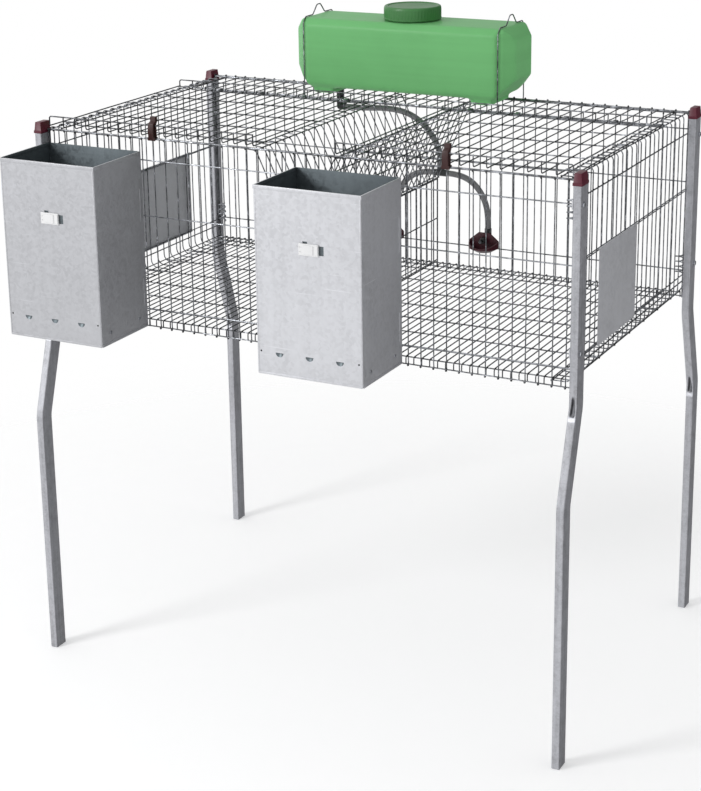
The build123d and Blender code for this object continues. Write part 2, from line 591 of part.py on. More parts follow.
# Hopper feeders
feeder_top = FEEDER_LOW + FEEDER_HEIGHT
half_width = FEEDER_WIDTH / 2
inner_half = half_width - SHEET - PLAY
slot_level = FEEDER_LOW + SLOT_RISE
clip_level = FEEDER_LOW + CLIP_RISE
rivet_level = FEEDER_LOW + RIVET_RISE
for side, centre in feeder_centres.items():
    place = Pos(centre, 0, 0)
    shell = block((-half_width, feeder_front, FEEDER_LOW), (half_width, feeder_back, feeder_top))
    shell -= block(
        (SHEET - half_width, feeder_front + SHEET, FEEDER_LOW + SHEET),
        (half_width - SHEET, feeder_back + CUT, feeder_top + CUT),
    )
    skin = Plane.XZ.offset(-feeder_front - SHEET - CUT)
    for step in (-SLOT_STEP, 0, SLOT_STEP):
        dust_slot = Circle(SLOT_RADIUS) & Pos(0, -SLOT_RADIUS / 2) * Rectangle(2 * SLOT_RADIUS, SLOT_RADIUS)
        shell -= extrude(skin * Pos(step, slot_level) * dust_slot, amount=SHEET + 2 * CUT)
    for step in (-PIN_HOLE_STEP, PIN_HOLE_STEP):
        shell -= extrude(skin * Pos(step, slot_level) * Circle(PIN_HOLE_RADIUS), amount=SHEET + 2 * CUT)
    slot_x = CLIP_SHIFT + (CLIP_WIDTH + CLIP_SLOT_WIDTH) / 2
    clip_slot = Pos(slot_x, clip_level) * Rectangle(CLIP_SLOT_WIDTH, CLIP_SLOT_HEIGHT)
    tongue = Pos(CLIP_SHIFT, clip_level) * Rectangle(CLIP_TONGUE_WIDTH, CLIP_TONGUE_HEIGHT)
    tongue_hole = Rectangle(CLIP_TONGUE_WIDTH + 2 * PLAY, CLIP_TONGUE_HEIGHT + 2 * PLAY)
    shell -= extrude(skin * clip_slot, amount=SHEET + 2 * CUT)
    shell -= extrude(skin * Pos(CLIP_SHIFT, clip_level) * tongue_hole, amount=SHEET + 2 * CUT)

    clip_outline = Pos(CLIP_SHIFT, clip_level) * RectangleRounded(CLIP_WIDTH, CLIP_HEIGHT, CLIP_CORNER)
    clip = extrude(Plane.XZ.offset(-feeder_front) * clip_outline, amount=CLIP_DEPTH)
    clip += extrude(Plane.XZ.offset(-feeder_front) * tongue, amount=-2 * SHEET)

    rivets = []
    for wall_side in SIDES.values():
        for spot in RIVET_PLACES:
            depth = feeder_front + spot
            face_x = wall_side * half_width
            tail_x = face_x - wall_side * (SHEET + RIVET_HEAD)
            head_x = face_x + wall_side * RIVET_HEAD
            stem = rod((tail_x, depth, rivet_level), (head_x, depth, rivet_level), RIVET_RADIUS)
            stem += rod((face_x, depth, rivet_level), (head_x, depth, rivet_level), RIVET_HEAD_RADIUS)
            bore = rod((tail_x, depth, rivet_level), (head_x, depth, rivet_level), RIVET_RADIUS + PLAY)
            rivets.append(place * stem)
            shell -= bore

    back_line = [
        (feeder_back, feeder_top), (feeder_back, MOUTH_TOP),
        (feeder_back - BAFFLE_REACH, MOUTH_TOP - BAFFLE_DROP),
        (feeder_back - BAFFLE_REACH - SHEET, MOUTH_TOP - BAFFLE_DROP + SHEET),
        (feeder_back - SHEET, MOUTH_TOP + SHEET), (feeder_back - SHEET, feeder_top),
    ]
    back = extrude(Plane.YZ * make_face(Polyline(*back_line, close=True)), amount=inner_half, both=True)
    hook_top = FRONT_LEVELS[-1] + WIRE / 2 + HOOK_PLAY
    hook_back = -panel_y + MESH / 2 + HOOK_PLAY
    first = PITCH * (math.floor(centre / PITCH) + 0.5)
    for step in (-HOOK_STEPS, HOOK_STEPS):
        spot = first + step * PITCH - centre
        hook_left = spot - HOOK_WIDTH / 2
        hook_end = (spot + HOOK_WIDTH / 2, hook_back + SHEET, hook_top + SHEET)
        back += block((hook_left, feeder_back - SHEET, hook_top), hook_end)
        back += block((hook_left, hook_back, hook_top - HOOK_DROP), hook_end)

    chute_low = FEEDER_LOW + SHEET + PLAY
    chute_front = feeder_front + SHEET + PLAY
    chute_line = [
        (chute_front, FEEDER_LOW + CHUTE_RISE), (chute_front + CHUTE_END, chute_low),
        (chute_front + CHUTE_END + SHEET, chute_low), (chute_front, FEEDER_LOW + CHUTE_RISE + SHEET),
    ]
    rivet_side = inner_half - RIVET_HEAD - GAP
    chute = extrude(Plane.YZ * make_face(Polyline(*chute_line, close=True)), amount=rivet_side, both=True)
    apron_top = FEEDER_LOW + MOUTH_LIP
    apron = block((-inner_half, feeder_back - SHEET, chute_low), (inner_half, feeder_back, apron_top))

    save(f"{side}_feeder_shell", place * shell)
    save(f"{side}_feeder_clip", place * clip)
    save(f"{side}_feeder_rivets", *rivets)
    save(f"{side}_feeder_back", place * back)
    save(f"{side}_feeder_chute", place * chute)
    save(f"{side}_feeder_apron", place * apron)


# Water tank with grooves for the hangers, feet and a filler neck
def tank_form(inset):
    length, depth, height = (size - 2 * inset for size in (TANK_LENGTH, TANK_DEPTH, TANK_HEIGHT))
    plan = extrude(cut_corners(length, depth, TANK_PLAN_CUT, TANK_PLAN_CUT), amount=height / 2, both=True)
    side = cut_corners(length, height, TANK_LOW_CUT, TANK_HIGH_CUT)
    face = extrude(Plane.XZ * side, amount=depth, both=True)
    edge = cut_corners(depth, height, TANK_EDGE_CUT, TANK_EDGE_CUT)
    profile = extrude(Plane.YZ * edge, amount=length, both=True)
    return plan & face & profile


tank_place = Pos(TANK_X, tank_middle, tank_low + TANK_HEIGHT / 2)
tank = tank_place * tank_form(0)
foot_front = tank_front + TANK_FOOT_SETBACK
foot_low = roof_over + GAP
for out in SIDES.values():
    hanger_x = TANK_X + out * hanger_spacing
    groove = (hanger_x - GROOVE_WIDTH / 2, hanger_x + GROOVE_WIDTH / 2)
    for face_y in (tank_front, tank_front + TANK_DEPTH):
        tank -= block(
            (groove[0], face_y - GROOVE_DEPTH, tank_low - CUT),
            (groove[1], face_y + GROOVE_DEPTH, tank_top + CUT),
        )
    foot_x = TANK_X + out * foot_spacing
    tank += block(
        (foot_x - TANK_FOOT_LENGTH / 2, foot_front, foot_low),
        (foot_x + TANK_FOOT_LENGTH / 2, foot_front + TANK_FOOT_DEPTH, tank_low + TANK_WALL),
    )
neck_top = tank_top + NECK_HEIGHT
tank += rod((TANK_X, tank_middle, tank_top - TANK_WALL), (TANK_X, tank_middle, neck_top), NECK_RADIUS)
tank -= tank_place * tank_form(GROOVE_DEPTH + TANK_WALL)
bore_low = (TANK_X, tank_middle, tank_top - TANK_HEIGHT / 2)
tank -= rod(bore_low, (TANK_X, tank_middle, neck_top + CUT), NECK_RADIUS - NECK_WALL)
tank -= rod((outlet_x, line_back, tank_low - CUT), (outlet_x, line_back, tank_low + OUTLET_DEPTH), HOSE_BORE)
save("tank_body", tank)

lid_low = tank_top + LID_LIFT
lid_roof = lid_low + LID_HEIGHT - LID_TOP
lid = rod((TANK_X, tank_middle, lid_low), (TANK_X, tank_middle, lid_low + LID_HEIGHT), LID_RADIUS)
lid -= rod((TANK_X, tank_middle, lid_low - CUT), (TANK_X, tank_middle, lid_roof), NECK_RADIUS + GAP)
save("tank_lid", lid)
seal_low = neck_top + GAP
seal = rod((TANK_X, tank_middle, seal_low), (TANK_X, tank_middle, lid_roof), NECK_RADIUS - GAP)
seal_bore = ((TANK_X, tank_middle, seal_low - CUT), (TANK_X, tank_middle, lid_roof + CUT))
seal -= rod(*seal_bore, NECK_RADIUS - SEAL_WIDTH)
save("tank_seal", seal)

hangers = []
wire_in = GROOVE_DEPTH / 2
hook_level = roof_under - HANGER_BELOW
over_tank = tank_top + HANGER_RADIUS + GAP
wire_front = tank_front + wire_in
wire_rear = tank_front + TANK_DEPTH - wire_in
for out in SIDES.values():
    hanger_x = TANK_X + out * hanger_spacing
    points = [
        (hanger_x - out * HANGER_HOOK, wire_front, hook_level),
        (hanger_x, wire_front, hook_level),
        (hanger_x, wire_front, over_tank),
        (hanger_x, tank_middle - HANGER_LOOP_HALF, over_tank),
        (hanger_x, tank_middle, over_tank + HANGER_LOOP),
        (hanger_x, tank_middle + HANGER_LOOP_HALF, over_tank),
        (hanger_x, wire_rear, over_tank),
        (hanger_x, wire_rear, hook_level),
        (hanger_x, wire_rear - 2 * HANGER_HOOK, hook_level),
    ]
    route = FilletPolyline(*points, radius=HANGER_BEND)
    hangers.append(sweep(Plane(origin=route @ 0, z_dir=route % 0) * Circle(HANGER_RADIUS), path=route))
save("tank_hangers", *hangers)

# Water line: outlet elbow, tee, hoses and the two drinkers
barb = HOSE_BORE - PLAY
outlet_end = outlet_x + OUTLET_REACH
elbow = (outlet_x, line_back, outlet_level)
spout = (outlet_end, line_back, outlet_level)
outlet = rod(elbow, (outlet_x, line_back, tank_low), FITTING_RADIUS)
outlet += Pos(*elbow) * Sphere(FITTING_RADIUS)
outlet += rod(elbow, spout, FITTING_RADIUS)
outlet += rod(spout, (outlet_end + BARB_LENGTH, line_back, outlet_level), barb)
nut = Pos(outlet_x, line_back, tank_low - OUTLET_NUT) * RegularPolygon(OUTLET_NUT_RADIUS, 6)
save("tank_outlet", outlet + extrude(nut, amount=OUTLET_NUT))

tee_top = TEE_LEVEL + TEE_RISE
barb_reach = TEE_REACH + BARB_LENGTH
tee = rod((-TEE_REACH, line_back, TEE_LEVEL), (TEE_REACH, line_back, TEE_LEVEL), FITTING_RADIUS)
tee += rod((-barb_reach, line_back, TEE_LEVEL), (barb_reach, line_back, TEE_LEVEL), barb)
tee += rod((0, line_back, TEE_LEVEL), (0, line_back, tee_top), FITTING_RADIUS)
tee += rod((0, line_back, tee_top), (0, line_back, tee_top + BARB_LENGTH), barb)
save("hose_tee", tee)

hose_end = DRINKER_LEVEL + DRINKER_RISE
feed_start = [(outlet_end, outlet_level), (outlet_end + FEED_START, outlet_level)]
hose("feed_hose", [*feed_start, *FEED_BENDS, (0, tee_top + FEED_END), (0, tee_top)])
for side, bends in (("left", LEFT_BENDS), ("right", RIGHT_BENDS)):
    out = SIDES[side]
    branch_start = [(out * TEE_REACH, TEE_LEVEL), (out * (TEE_REACH + BRANCH_START), TEE_LEVEL)]
    branch_end = [(out * drinker_x, hose_end + BRANCH_END), (out * drinker_x, hose_end)]
    hose(f"{side}_hose", [*branch_start, *bends, *branch_end])

cup_back = inside_y - CUP_BEHIND_GAP
cup_rim = CUP_LOW + CUP_BOWL
cup_front = CUP_LOW + CUP_FRONT_RISE
cup_shoulder = CUP_LOW + CUP_SHOULDER
bowl_line = [
    (0, CUP_LOW), (CUP_FLOOR_RADIUS, CUP_LOW), (CUP_RADIUS, cup_rim), (CUP_RADIUS, cup_shoulder),
    (CUP_RADIUS - CUP_WALL, cup_shoulder), (CUP_RADIUS - CUP_WALL, cup_rim + CUP_WALL / 2),
    (CUP_FLOOR_RADIUS - CUP_WALL / 2, CUP_LOW + CUP_WALL), (0, CUP_LOW + CUP_WALL),
]
bowl = revolve(Plane.XZ * make_face(Polyline(*bowl_line, close=True)), axis=Axis.Z, revolution_arc=-180)
scoop_line = [
    (0, cup_shoulder), (-CUP_RADIUS, cup_front), (-CUP_RADIUS - CUT, cup_front),
    (-CUP_RADIUS - CUT, cup_shoulder + CUT), (0, cup_shoulder + CUT),
]
bowl -= extrude(Plane.YZ * make_face(Polyline(*scoop_line, close=True)), amount=CUP_RADIUS + CUT, both=True)
plate_half = [
    (CUP_FLOOR_RADIUS, CUP_LOW), (CUP_RADIUS, cup_rim), (CUP_RADIUS, cup_shoulder),
    (CUP_TOP_HALF, CUP_LOW + CUP_HEIGHT),
]
plate_line = plate_half + [(-u, v) for u, v in reversed(plate_half)]
plate = extrude(Plane.XZ * make_face(Polyline(*plate_line, close=True)), amount=-CUP_PLATE)
for side, out in SIDES.items():
    place = Pos(out * drinker_x, 0, 0)
    bore_end = (0, cup_back + CUP_PLATE + CUT, DRINKER_LEVEL)
    cup = Pos(0, cup_back, 0) * (bowl + plate)
    cup -= rod((0, valve_front, DRINKER_LEVEL), bore_end, VALVE_RADIUS + PLAY)

    valve = rod((0, valve_front, DRINKER_LEVEL), (0, line_back, DRINKER_LEVEL), VALVE_RADIUS)
    valve += Pos(0, line_back, DRINKER_LEVEL) * Sphere(FITTING_RADIUS)
    valve += rod((0, line_back, DRINKER_LEVEL), (0, line_back, hose_end), FITTING_RADIUS)
    valve += rod((0, line_back, hose_end), (0, line_back, hose_end + BARB_LENGTH), barb)
    pin_end = valve_front + PUSH_PIN_IN
    pin_bore = ((0, valve_front - CUT, DRINKER_LEVEL), (0, pin_end + PUSH_HEAD, DRINKER_LEVEL))
    valve -= rod(*pin_bore, PUSH_PIN_RADIUS + PLAY)

    pin_front = valve_front - PUSH_PIN_OUT
    pin = rod((0, pin_front, DRINKER_LEVEL), (0, pin_end, DRINKER_LEVEL), PUSH_PIN_RADIUS)
    pin += rod((0, pin_front, DRINKER_LEVEL), (0, pin_front + PUSH_HEAD, DRINKER_LEVEL), PUSH_HEAD_RADIUS)

    save(f"{side}_drinker_cup", place * cup)
    save(f"{side}_drinker_valve", place * valve)
    save(f"{side}_drinker_pin", place * pin)
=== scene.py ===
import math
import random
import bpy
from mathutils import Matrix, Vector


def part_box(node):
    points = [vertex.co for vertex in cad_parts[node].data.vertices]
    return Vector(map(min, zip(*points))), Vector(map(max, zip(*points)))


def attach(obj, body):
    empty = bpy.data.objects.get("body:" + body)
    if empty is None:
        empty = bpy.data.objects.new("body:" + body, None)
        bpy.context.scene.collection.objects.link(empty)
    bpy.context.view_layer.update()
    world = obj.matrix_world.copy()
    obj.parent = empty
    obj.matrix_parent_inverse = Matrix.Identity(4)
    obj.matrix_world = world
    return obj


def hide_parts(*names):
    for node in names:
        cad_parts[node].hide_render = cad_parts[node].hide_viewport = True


bl_info = {
    "name": "Rabbit cage",
    "version": (1, 0, 0),
    "blender": (4, 5, 0),
    "location": "View3D > Sidebar > Cage",
    "description": "Dresses the two-compartment rabbit cage with its wire, sheet metal, tank and water line",
    "category": "Object",
}

from contextlib import contextmanager

import bmesh
import bpy
from bpy.props import FloatProperty, FloatVectorProperty, IntProperty, PointerProperty
from mathutils import Euler, Matrix, Vector

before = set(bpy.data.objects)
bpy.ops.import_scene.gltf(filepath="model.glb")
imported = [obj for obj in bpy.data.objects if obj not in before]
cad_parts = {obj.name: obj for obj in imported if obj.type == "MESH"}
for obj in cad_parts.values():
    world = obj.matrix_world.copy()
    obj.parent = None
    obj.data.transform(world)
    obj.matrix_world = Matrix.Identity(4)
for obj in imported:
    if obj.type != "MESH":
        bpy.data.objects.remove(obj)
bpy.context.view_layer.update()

MM = 0.001
SIDES = {"left": -1, "right": 1}
ENDS = {"front": -1, "rear": 1}
CAGE_MIDDLE = (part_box("front_left_leg")[0].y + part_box("rear_left_leg")[1].y) / 2
WIRE = "galvanised_wire"
SHEET = "galvanised_sheet"

# Places of the cage in millimetres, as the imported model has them
BOX_HALF = 516
EDGE_STAY = 514.75
BAR_HALF = 515.6
ROD_HALF = 516.5
DEPTH_HALF = 292.7
PANEL_FOOT = 669.75
FOOT_END = 676
HOOK_START = 1014
FRONT_LEVELS = (703, 879, 982)
REAR_LEVELS = (721, 894, 995)
FRONT_ROD = (-295, 1022)
REAR_ROD = (296, 1025.8)
HINGE = (160, 1025.8)
ROOF = 1025.8
MOUTHS = ((-504, -336), (24, 192))
MOUTH_TOP = 800
FEEDER_CENTRES = {"left": -415, "right": 105}
LATCH_PLACE = 288
HATCH_RAILS = (716, 880)
HATCH_WINDOWS = {"left": (24, 168), "right": (-168, -24)}
TIE_PLACE = 508.5


def linear(red, green, blue):
    """Linear colour of an sRGB one, each part from 0 to 255."""
    parts = [part / 255 for part in (red, green, blue)]
    return tuple(part / 12.92 if part <= 0.04045 else ((part + 0.055) / 1.055) ** 2.4 for part in parts)


class CageWireSizes(bpy.types.PropertyGroup):
    """Sizes of the wire mesh."""

    bar: FloatProperty(
        name="Bar", description="Diameter of the wires that carry a panel", default=2.5 * MM, unit="LENGTH"
    )
    stay: FloatProperty(
        name="Stay", description="Diameter of the closely spaced wires", default=2.2 * MM, unit="LENGTH"
    )
    pitch: FloatProperty(
        name="Pitch", description="Spacing of the wires in walls, front and roof",
        default=24 * MM, unit="LENGTH",
    )
    rear_pitch: FloatProperty(
        name="Rear pitch", description="Spacing of the wires in the rear panel",
        default=23.3 * MM, unit="LENGTH",
    )
    floor_pitch: FloatProperty(
        name="Floor pitch", description="Spacing of the floor wires", default=15 * MM, unit="LENGTH"
    )
    bend: FloatProperty(
        name="Top bend", description="Bend radius of the walls' upper edges", default=7 * MM, unit="LENGTH"
    )
    low_bend: FloatProperty(
        name="Bottom bend", description="Bend radius of the walls' lower edges",
        default=15 * MM, unit="LENGTH",
    )
    wander: FloatProperty(
        name="Wander", description="How far a wire strays from its line", default=0.35 * MM, unit="LENGTH"
    )


class CageSheetSizes(bpy.types.PropertyGroup):
    """Sizes of the tube and sheet metal."""

    tube_corner: FloatProperty(
        name="Tube corner", description="Corner radius of the leg tube", default=2.4 * MM, unit="LENGTH"
    )
    dent: FloatProperty(
        name="Bend dent", description="Depth of the crease where a leg is bent",
        default=6.2 * MM, unit="LENGTH",
    )
    fold: FloatProperty(
        name="Fold", description="Bend radius of the feeder sheet", default=1.8 * MM, unit="LENGTH"
    )
    hem: FloatProperty(
        name="Hem", description="Height of the hem along the feeder's rim", default=6 * MM, unit="LENGTH"
    )


class CageTankSizes(bpy.types.PropertyGroup):
    """Sizes of the water tank's moulded forms."""

    rounding: FloatProperty(
        name="Rounding", description="Edge radius of the tank", default=7 * MM, unit="LENGTH"
    )
    flutes: IntProperty(
        name="Flutes", description="Grip flutes round the screw cap", default=56, min=12, max=90
    )
    flute_depth: FloatProperty(
        name="Flute depth", description="Depth of a grip flute", default=0.7 * MM, unit="LENGTH"
    )


class CageColours(bpy.types.PropertyGroup):
    """Colours of the cage's finishes."""

    tank: FloatVectorProperty(
        name="Tank", description="Green of the water tank", subtype="COLOR", default=linear(112, 184, 116)
    )
    lid: FloatVectorProperty(
        name="Screw cap", description="Green of the tank's cap", subtype="COLOR", default=linear(58, 120, 60)
    )
    cap: FloatVectorProperty(
        name="Leg caps", description="Dark red of the leg caps", subtype="COLOR", default=linear(86, 10, 36)
    )
    cup: FloatVectorProperty(
        name="Drinkers", description="Dark red of the drinkers", subtype="COLOR", default=linear(60, 5, 23)
    )
    latch: FloatVectorProperty(
        name="Latches", description="Brown of the latches", subtype="COLOR", default=linear(52, 20, 18)
    )
    clip: FloatVectorProperty(
        name="Clips", description="White of the feeder clips", subtype="COLOR", default=linear(226, 226, 226)
    )
    hose: FloatVectorProperty(
        name="Hose", description="Grey of the hoses", subtype="COLOR", default=linear(126, 126, 128)
    )
    wire: FloatVectorProperty(
        name="Wire", description="Zinc of the wires", subtype="COLOR", default=linear(116, 118, 122)
    )
    sheet: FloatVectorProperty(
        name="Sheet", description="Zinc of the feeders and hatches", subtype="COLOR",
        default=linear(206, 207, 211),
    )
    tube: FloatVectorProperty(
        name="Tube", description="Zinc of the legs", subtype="COLOR", default=linear(176, 177, 182)
    )


def spot(x, y, z):
    """Place in metres from millimetres about the middle of the wire box."""
    return Vector((x * MM, y * MM + CAGE_MIDDLE, z * MM))


def node(tree, kind, inputs=None, **settings):
    """Add a shader node, with sockets linked and values set by name."""
    made = tree.nodes.new(kind)
    for key, value in settings.items():
        setattr(made, key, value)
    for key, value in (inputs or {}).items():
        if isinstance(value, bpy.types.NodeSocket):
            tree.links.new(value, made.inputs[key])
        else:
            made.inputs[key].default_value = value
    return made


def maths(tree, operation, *values):
    """Result of one operation on sockets and numbers."""
    return node(tree, "ShaderNodeMath", dict(enumerate(values)), operation=operation).outputs[0]


def mixed(tree, factor, first, second, **settings):
    """Mix of two colours."""
    inputs = {"Factor": factor, 6: first, 7: second}
    return node(tree, "ShaderNodeMix", inputs, data_type="RGBA", **settings).outputs[2]


def ramp(tree, factor, *stops):
    """Colour ramp through (position, colour) stops."""
    made = node(tree, "ShaderNodeValToRGB", {"Fac": factor})
    elements = made.color_ramp.elements
    while len(elements) < len(stops):
        elements.new(0.5)
    for element, (position, colour) in zip(elements, stops):
        element.position = position
        element.color = (*colour, 1.0)
    return made.outputs["Color"]


def grey(level):
    """Neutral colour of one level."""
    return (level, level, level)


def scaled(colour, factor):
    """Colour made lighter or darker."""
    return tuple(min(part * factor, 1.0) for part in colour)


def sum_of(tree, *weighted):
    """Weighted sum of float sockets."""
    total = None
    for weight, socket in weighted:
        part = maths(tree, "MULTIPLY", socket, weight)
        total = part if total is None else maths(tree, "ADD", total, part)
    return total


def new_finish(name):
    """Empty material with its tree, its shader and the piece's own coordinates."""
    finish = bpy.data.materials.new(name)
    finish.use_nodes = True
    tree = finish.node_tree
    place = node(tree, "ShaderNodeTexCoord").outputs["Object"]
    return finish, tree, tree.nodes["Principled BSDF"], place


def stretched(tree, place, scale):
    """Coordinates drawn out along an axis."""
    return node(tree, "ShaderNodeMapping", {"Vector": place, "Scale": scale}).outputs["Vector"]


def cloud(tree, place, scale, detail=4.0, roughness=0.55):
    """Noise of the given scale."""
    inputs = {"Vector": place, "Scale": scale, "Detail": detail, "Roughness": roughness}
    return node(tree, "ShaderNodeTexNoise", inputs).outputs["Fac"]


def coat(tree, shader, colours, rough, metal=0.0):
    """Give a shader its colour, its roughness and how metallic it is."""
    tree.links.new(colours, shader.inputs["Base Color"])
    tree.links.new(rough, shader.inputs["Roughness"])
    shader.inputs["Metallic"].default_value = metal


def raise_surface(tree, shader, height, strength, distance):
    """Bump the shader's normal by a height."""
    inputs = {"Height": height, "Strength": strength, "Distance": distance}
    tree.links.new(node(tree, "ShaderNodeBump", inputs).outputs["Normal"], shader.inputs["Normal"])


def zinc_wire(name, colour, low, high):
    """Drawn and galvanised wire: dull patches and a fine grain, with bright spots that are painted sparkle
    highlights.
    """
    finish, tree, shader, place = new_finish(name)
    coarse = cloud(tree, place, 75.0, 3.0)
    fine = cloud(tree, place, 420.0)
    tone = sum_of(tree, (0.68, coarse), (0.32, fine))
    # The bright end of this ramp, up to 2.6 times the zinc, is painted sparkle highlight
    colours = ramp(tree, tone, (0.40, scaled(colour, low)), (0.52, colour), (0.62, scaled(colour, high)))
    coat(tree, shader, colours, ramp(tree, coarse, (0.35, grey(0.38)), (0.65, grey(0.24))), 0.9)
    raise_surface(tree, shader, fine, 0.10, 0.0006)
    return finish


def zinc_sheet(name, colour, low, high, cell, metal=0.66):
    """Galvanised sheet: faint crystal spangle, rolled streaks, smudges and fine scratches."""
    finish, tree, shader, place = new_finish(name)
    warp = node(tree, "ShaderNodeTexNoise", {"Vector": place, "Scale": 60.0, "Detail": 2.0}).outputs["Color"]
    bent = node(tree, "ShaderNodeMix", {"Factor": 0.012, 4: place, 5: warp}, data_type="VECTOR").outputs[1]
    crystal = node(tree, "ShaderNodeTexVoronoi", {"Vector": bent, "Scale": cell}).outputs["Color"]
    spangle = node(tree, "ShaderNodeSeparateColor", {"Color": crystal}).outputs["Red"]
    smudge = cloud(tree, place, 5.5, 6.0, 0.62)
    streak = cloud(tree, stretched(tree, place, (70.0, 70.0, 2.0)), 1.0, 3.0)
    tone = sum_of(tree, (0.26, spangle), (0.46, smudge), (0.28, streak))
    colours = ramp(tree, tone, (0.30, scaled(colour, low)), (0.50, colour), (0.70, scaled(colour, high)))
    scratch_line = cloud(tree, stretched(tree, place, (9.0, 9.0, 420.0)), 1.0, 2.0)
    scratch = ramp(tree, scratch_line, (0.70, grey(0.0)), (0.76, grey(1.0)))
    scratched = mixed(tree, scratch, colours, (*scaled(colour, high * 1.08), 1.0))
    rough_tone = sum_of(tree, (0.5, spangle), (0.5, smudge))
    coat(tree, shader, scratched, ramp(tree, rough_tone, (0.25, grey(0.36)), (0.75, grey(0.54))), metal)
    waves = cloud(tree, place, 11.0, 2.0)
    height = sum_of(tree, (0.9, waves), (0.03, spangle), (0.07, scratch_line))
    raise_surface(tree, shader, height, 0.16, 0.004)
    return finish


def zinc_tube(name, colour, low, high):
    """Galvanised tube: long pulled streaks, mottled zinc, and painted light at the bends from the crease
    attribute: painted shade in each dent and a painted highlight on the facet below it.
    """
    finish, tree, shader, place = new_finish(name)
    streak = cloud(tree, stretched(tree, place, (190.0, 190.0, 5.0)), 1.0)
    mottle = cloud(tree, place, 85.0, 5.0, 0.6)
    broad = cloud(tree, place, 9.0, 3.0)
    grain = cloud(tree, place, 330.0, 3.0, 0.7)
    tone = sum_of(tree, (0.26, streak), (0.28, mottle), (0.16, broad), (0.30, grain))
    colours = ramp(tree, tone, (0.38, scaled(colour, low)), (0.5, colour), (0.62, scaled(colour, high)))
    # Painted light of the bend dents: the attribute darkens the dent and lightens its lower facet; the
    # colour is doubled so that zero leaves the zinc as it is
    crease = node(tree, "ShaderNodeAttribute", attribute_name="crease").outputs["Fac"]
    depth = maths(tree, "MULTIPLY_ADD", crease, 0.5, 0.5)
    shade = ramp(tree, depth, (0.0, grey(0.05)), (0.30, grey(0.35)), (0.5, grey(0.5)), (1.0, grey(1.0)))
    worn = mixed(tree, 1.0, colours, shade, blend_type="MULTIPLY")
    doubled = mixed(tree, 1.0, worn, (2.0, 2.0, 2.0, 1.0), blend_type="MULTIPLY")
    coat(tree, shader, doubled, ramp(tree, mottle, (0.3, grey(0.36)), (0.7, grey(0.56))), 0.62)
    raise_surface(tree, shader, sum_of(tree, (0.5, mottle), (0.3, streak), (0.2, grain)), 0.16, 0.0012)
    return finish


def moulded(name, colour, spread, rough_low, rough_high, grain, grain_strength):
    """Moulded plastic: slight shade differences, a fine grain and worn shine."""
    finish, tree, shader, place = new_finish(name)
    shade = cloud(tree, place, 16.0, 5.0)
    fine = cloud(tree, place, grain, 3.0)
    tone = sum_of(tree, (0.7, shade), (0.3, fine))
    dull, bright = scaled(colour, 1 - spread), scaled(colour, 1 + spread)
    colours = ramp(tree, tone, (0.34, dull), (0.52, colour), (0.70, bright))
    coat(tree, shader, colours, ramp(tree, shade, (0.3, grey(rough_low)), (0.7, grey(rough_high))))
    raise_surface(tree, shader, fine, grain_strength, 0.0008)
    return finish


def blown_tank(name, colour):
    """Blow-moulded tank wall: soft waves, faint flow bands, a satin skin."""
    finish, tree, shader, place = new_finish(name)
    band = cloud(tree, stretched(tree, place, (1.2, 1.2, 42.0)), 1.0, 3.0)
    shade = cloud(tree, place, 7.0)
    skin = cloud(tree, place, 900.0, 2.0)
    tone = sum_of(tree, (0.45, band), (0.45, shade), (0.10, skin))
    colours = ramp(tree, tone, (0.35, scaled(colour, 0.90)), (0.5, colour), (0.65, scaled(colour, 1.07)))
    coat(tree, shader, colours, ramp(tree, shade, (0.3, grey(0.36)), (0.7, grey(0.48))))
    shader.inputs["Specular IOR Level"].default_value = 0.25
    shader.inputs["Subsurface Weight"].default_value = 0.06
    shader.inputs["Subsurface Radius"].default_value = (0.006, 0.012, 0.006)
    raise_surface(tree, shader, sum_of(tree, (0.75, shade), (0.2, band), (0.05, skin)), 0.22, 0.006)
    return finish


def soft_hose(name, colour):
    """Hose: matt grey skin with dusty patches and a fine grain."""
    finish, tree, shader, place = new_finish(name)
    dust = cloud(tree, place, 45.0, 5.0)
    skin = cloud(tree, place, 600.0, 3.0)
    tone = sum_of(tree, (0.7, dust), (0.3, skin))
    colours = ramp(tree, tone, (0.34, scaled(colour, 0.82)), (0.52, colour), (0.68, scaled(colour, 1.16)))
    coat(tree, shader, colours, ramp(tree, dust, (0.3, grey(0.38)), (0.7, grey(0.56))))
    raise_surface(tree, shader, skin, 0.06, 0.0006)
    return finish


FINISHES = {}


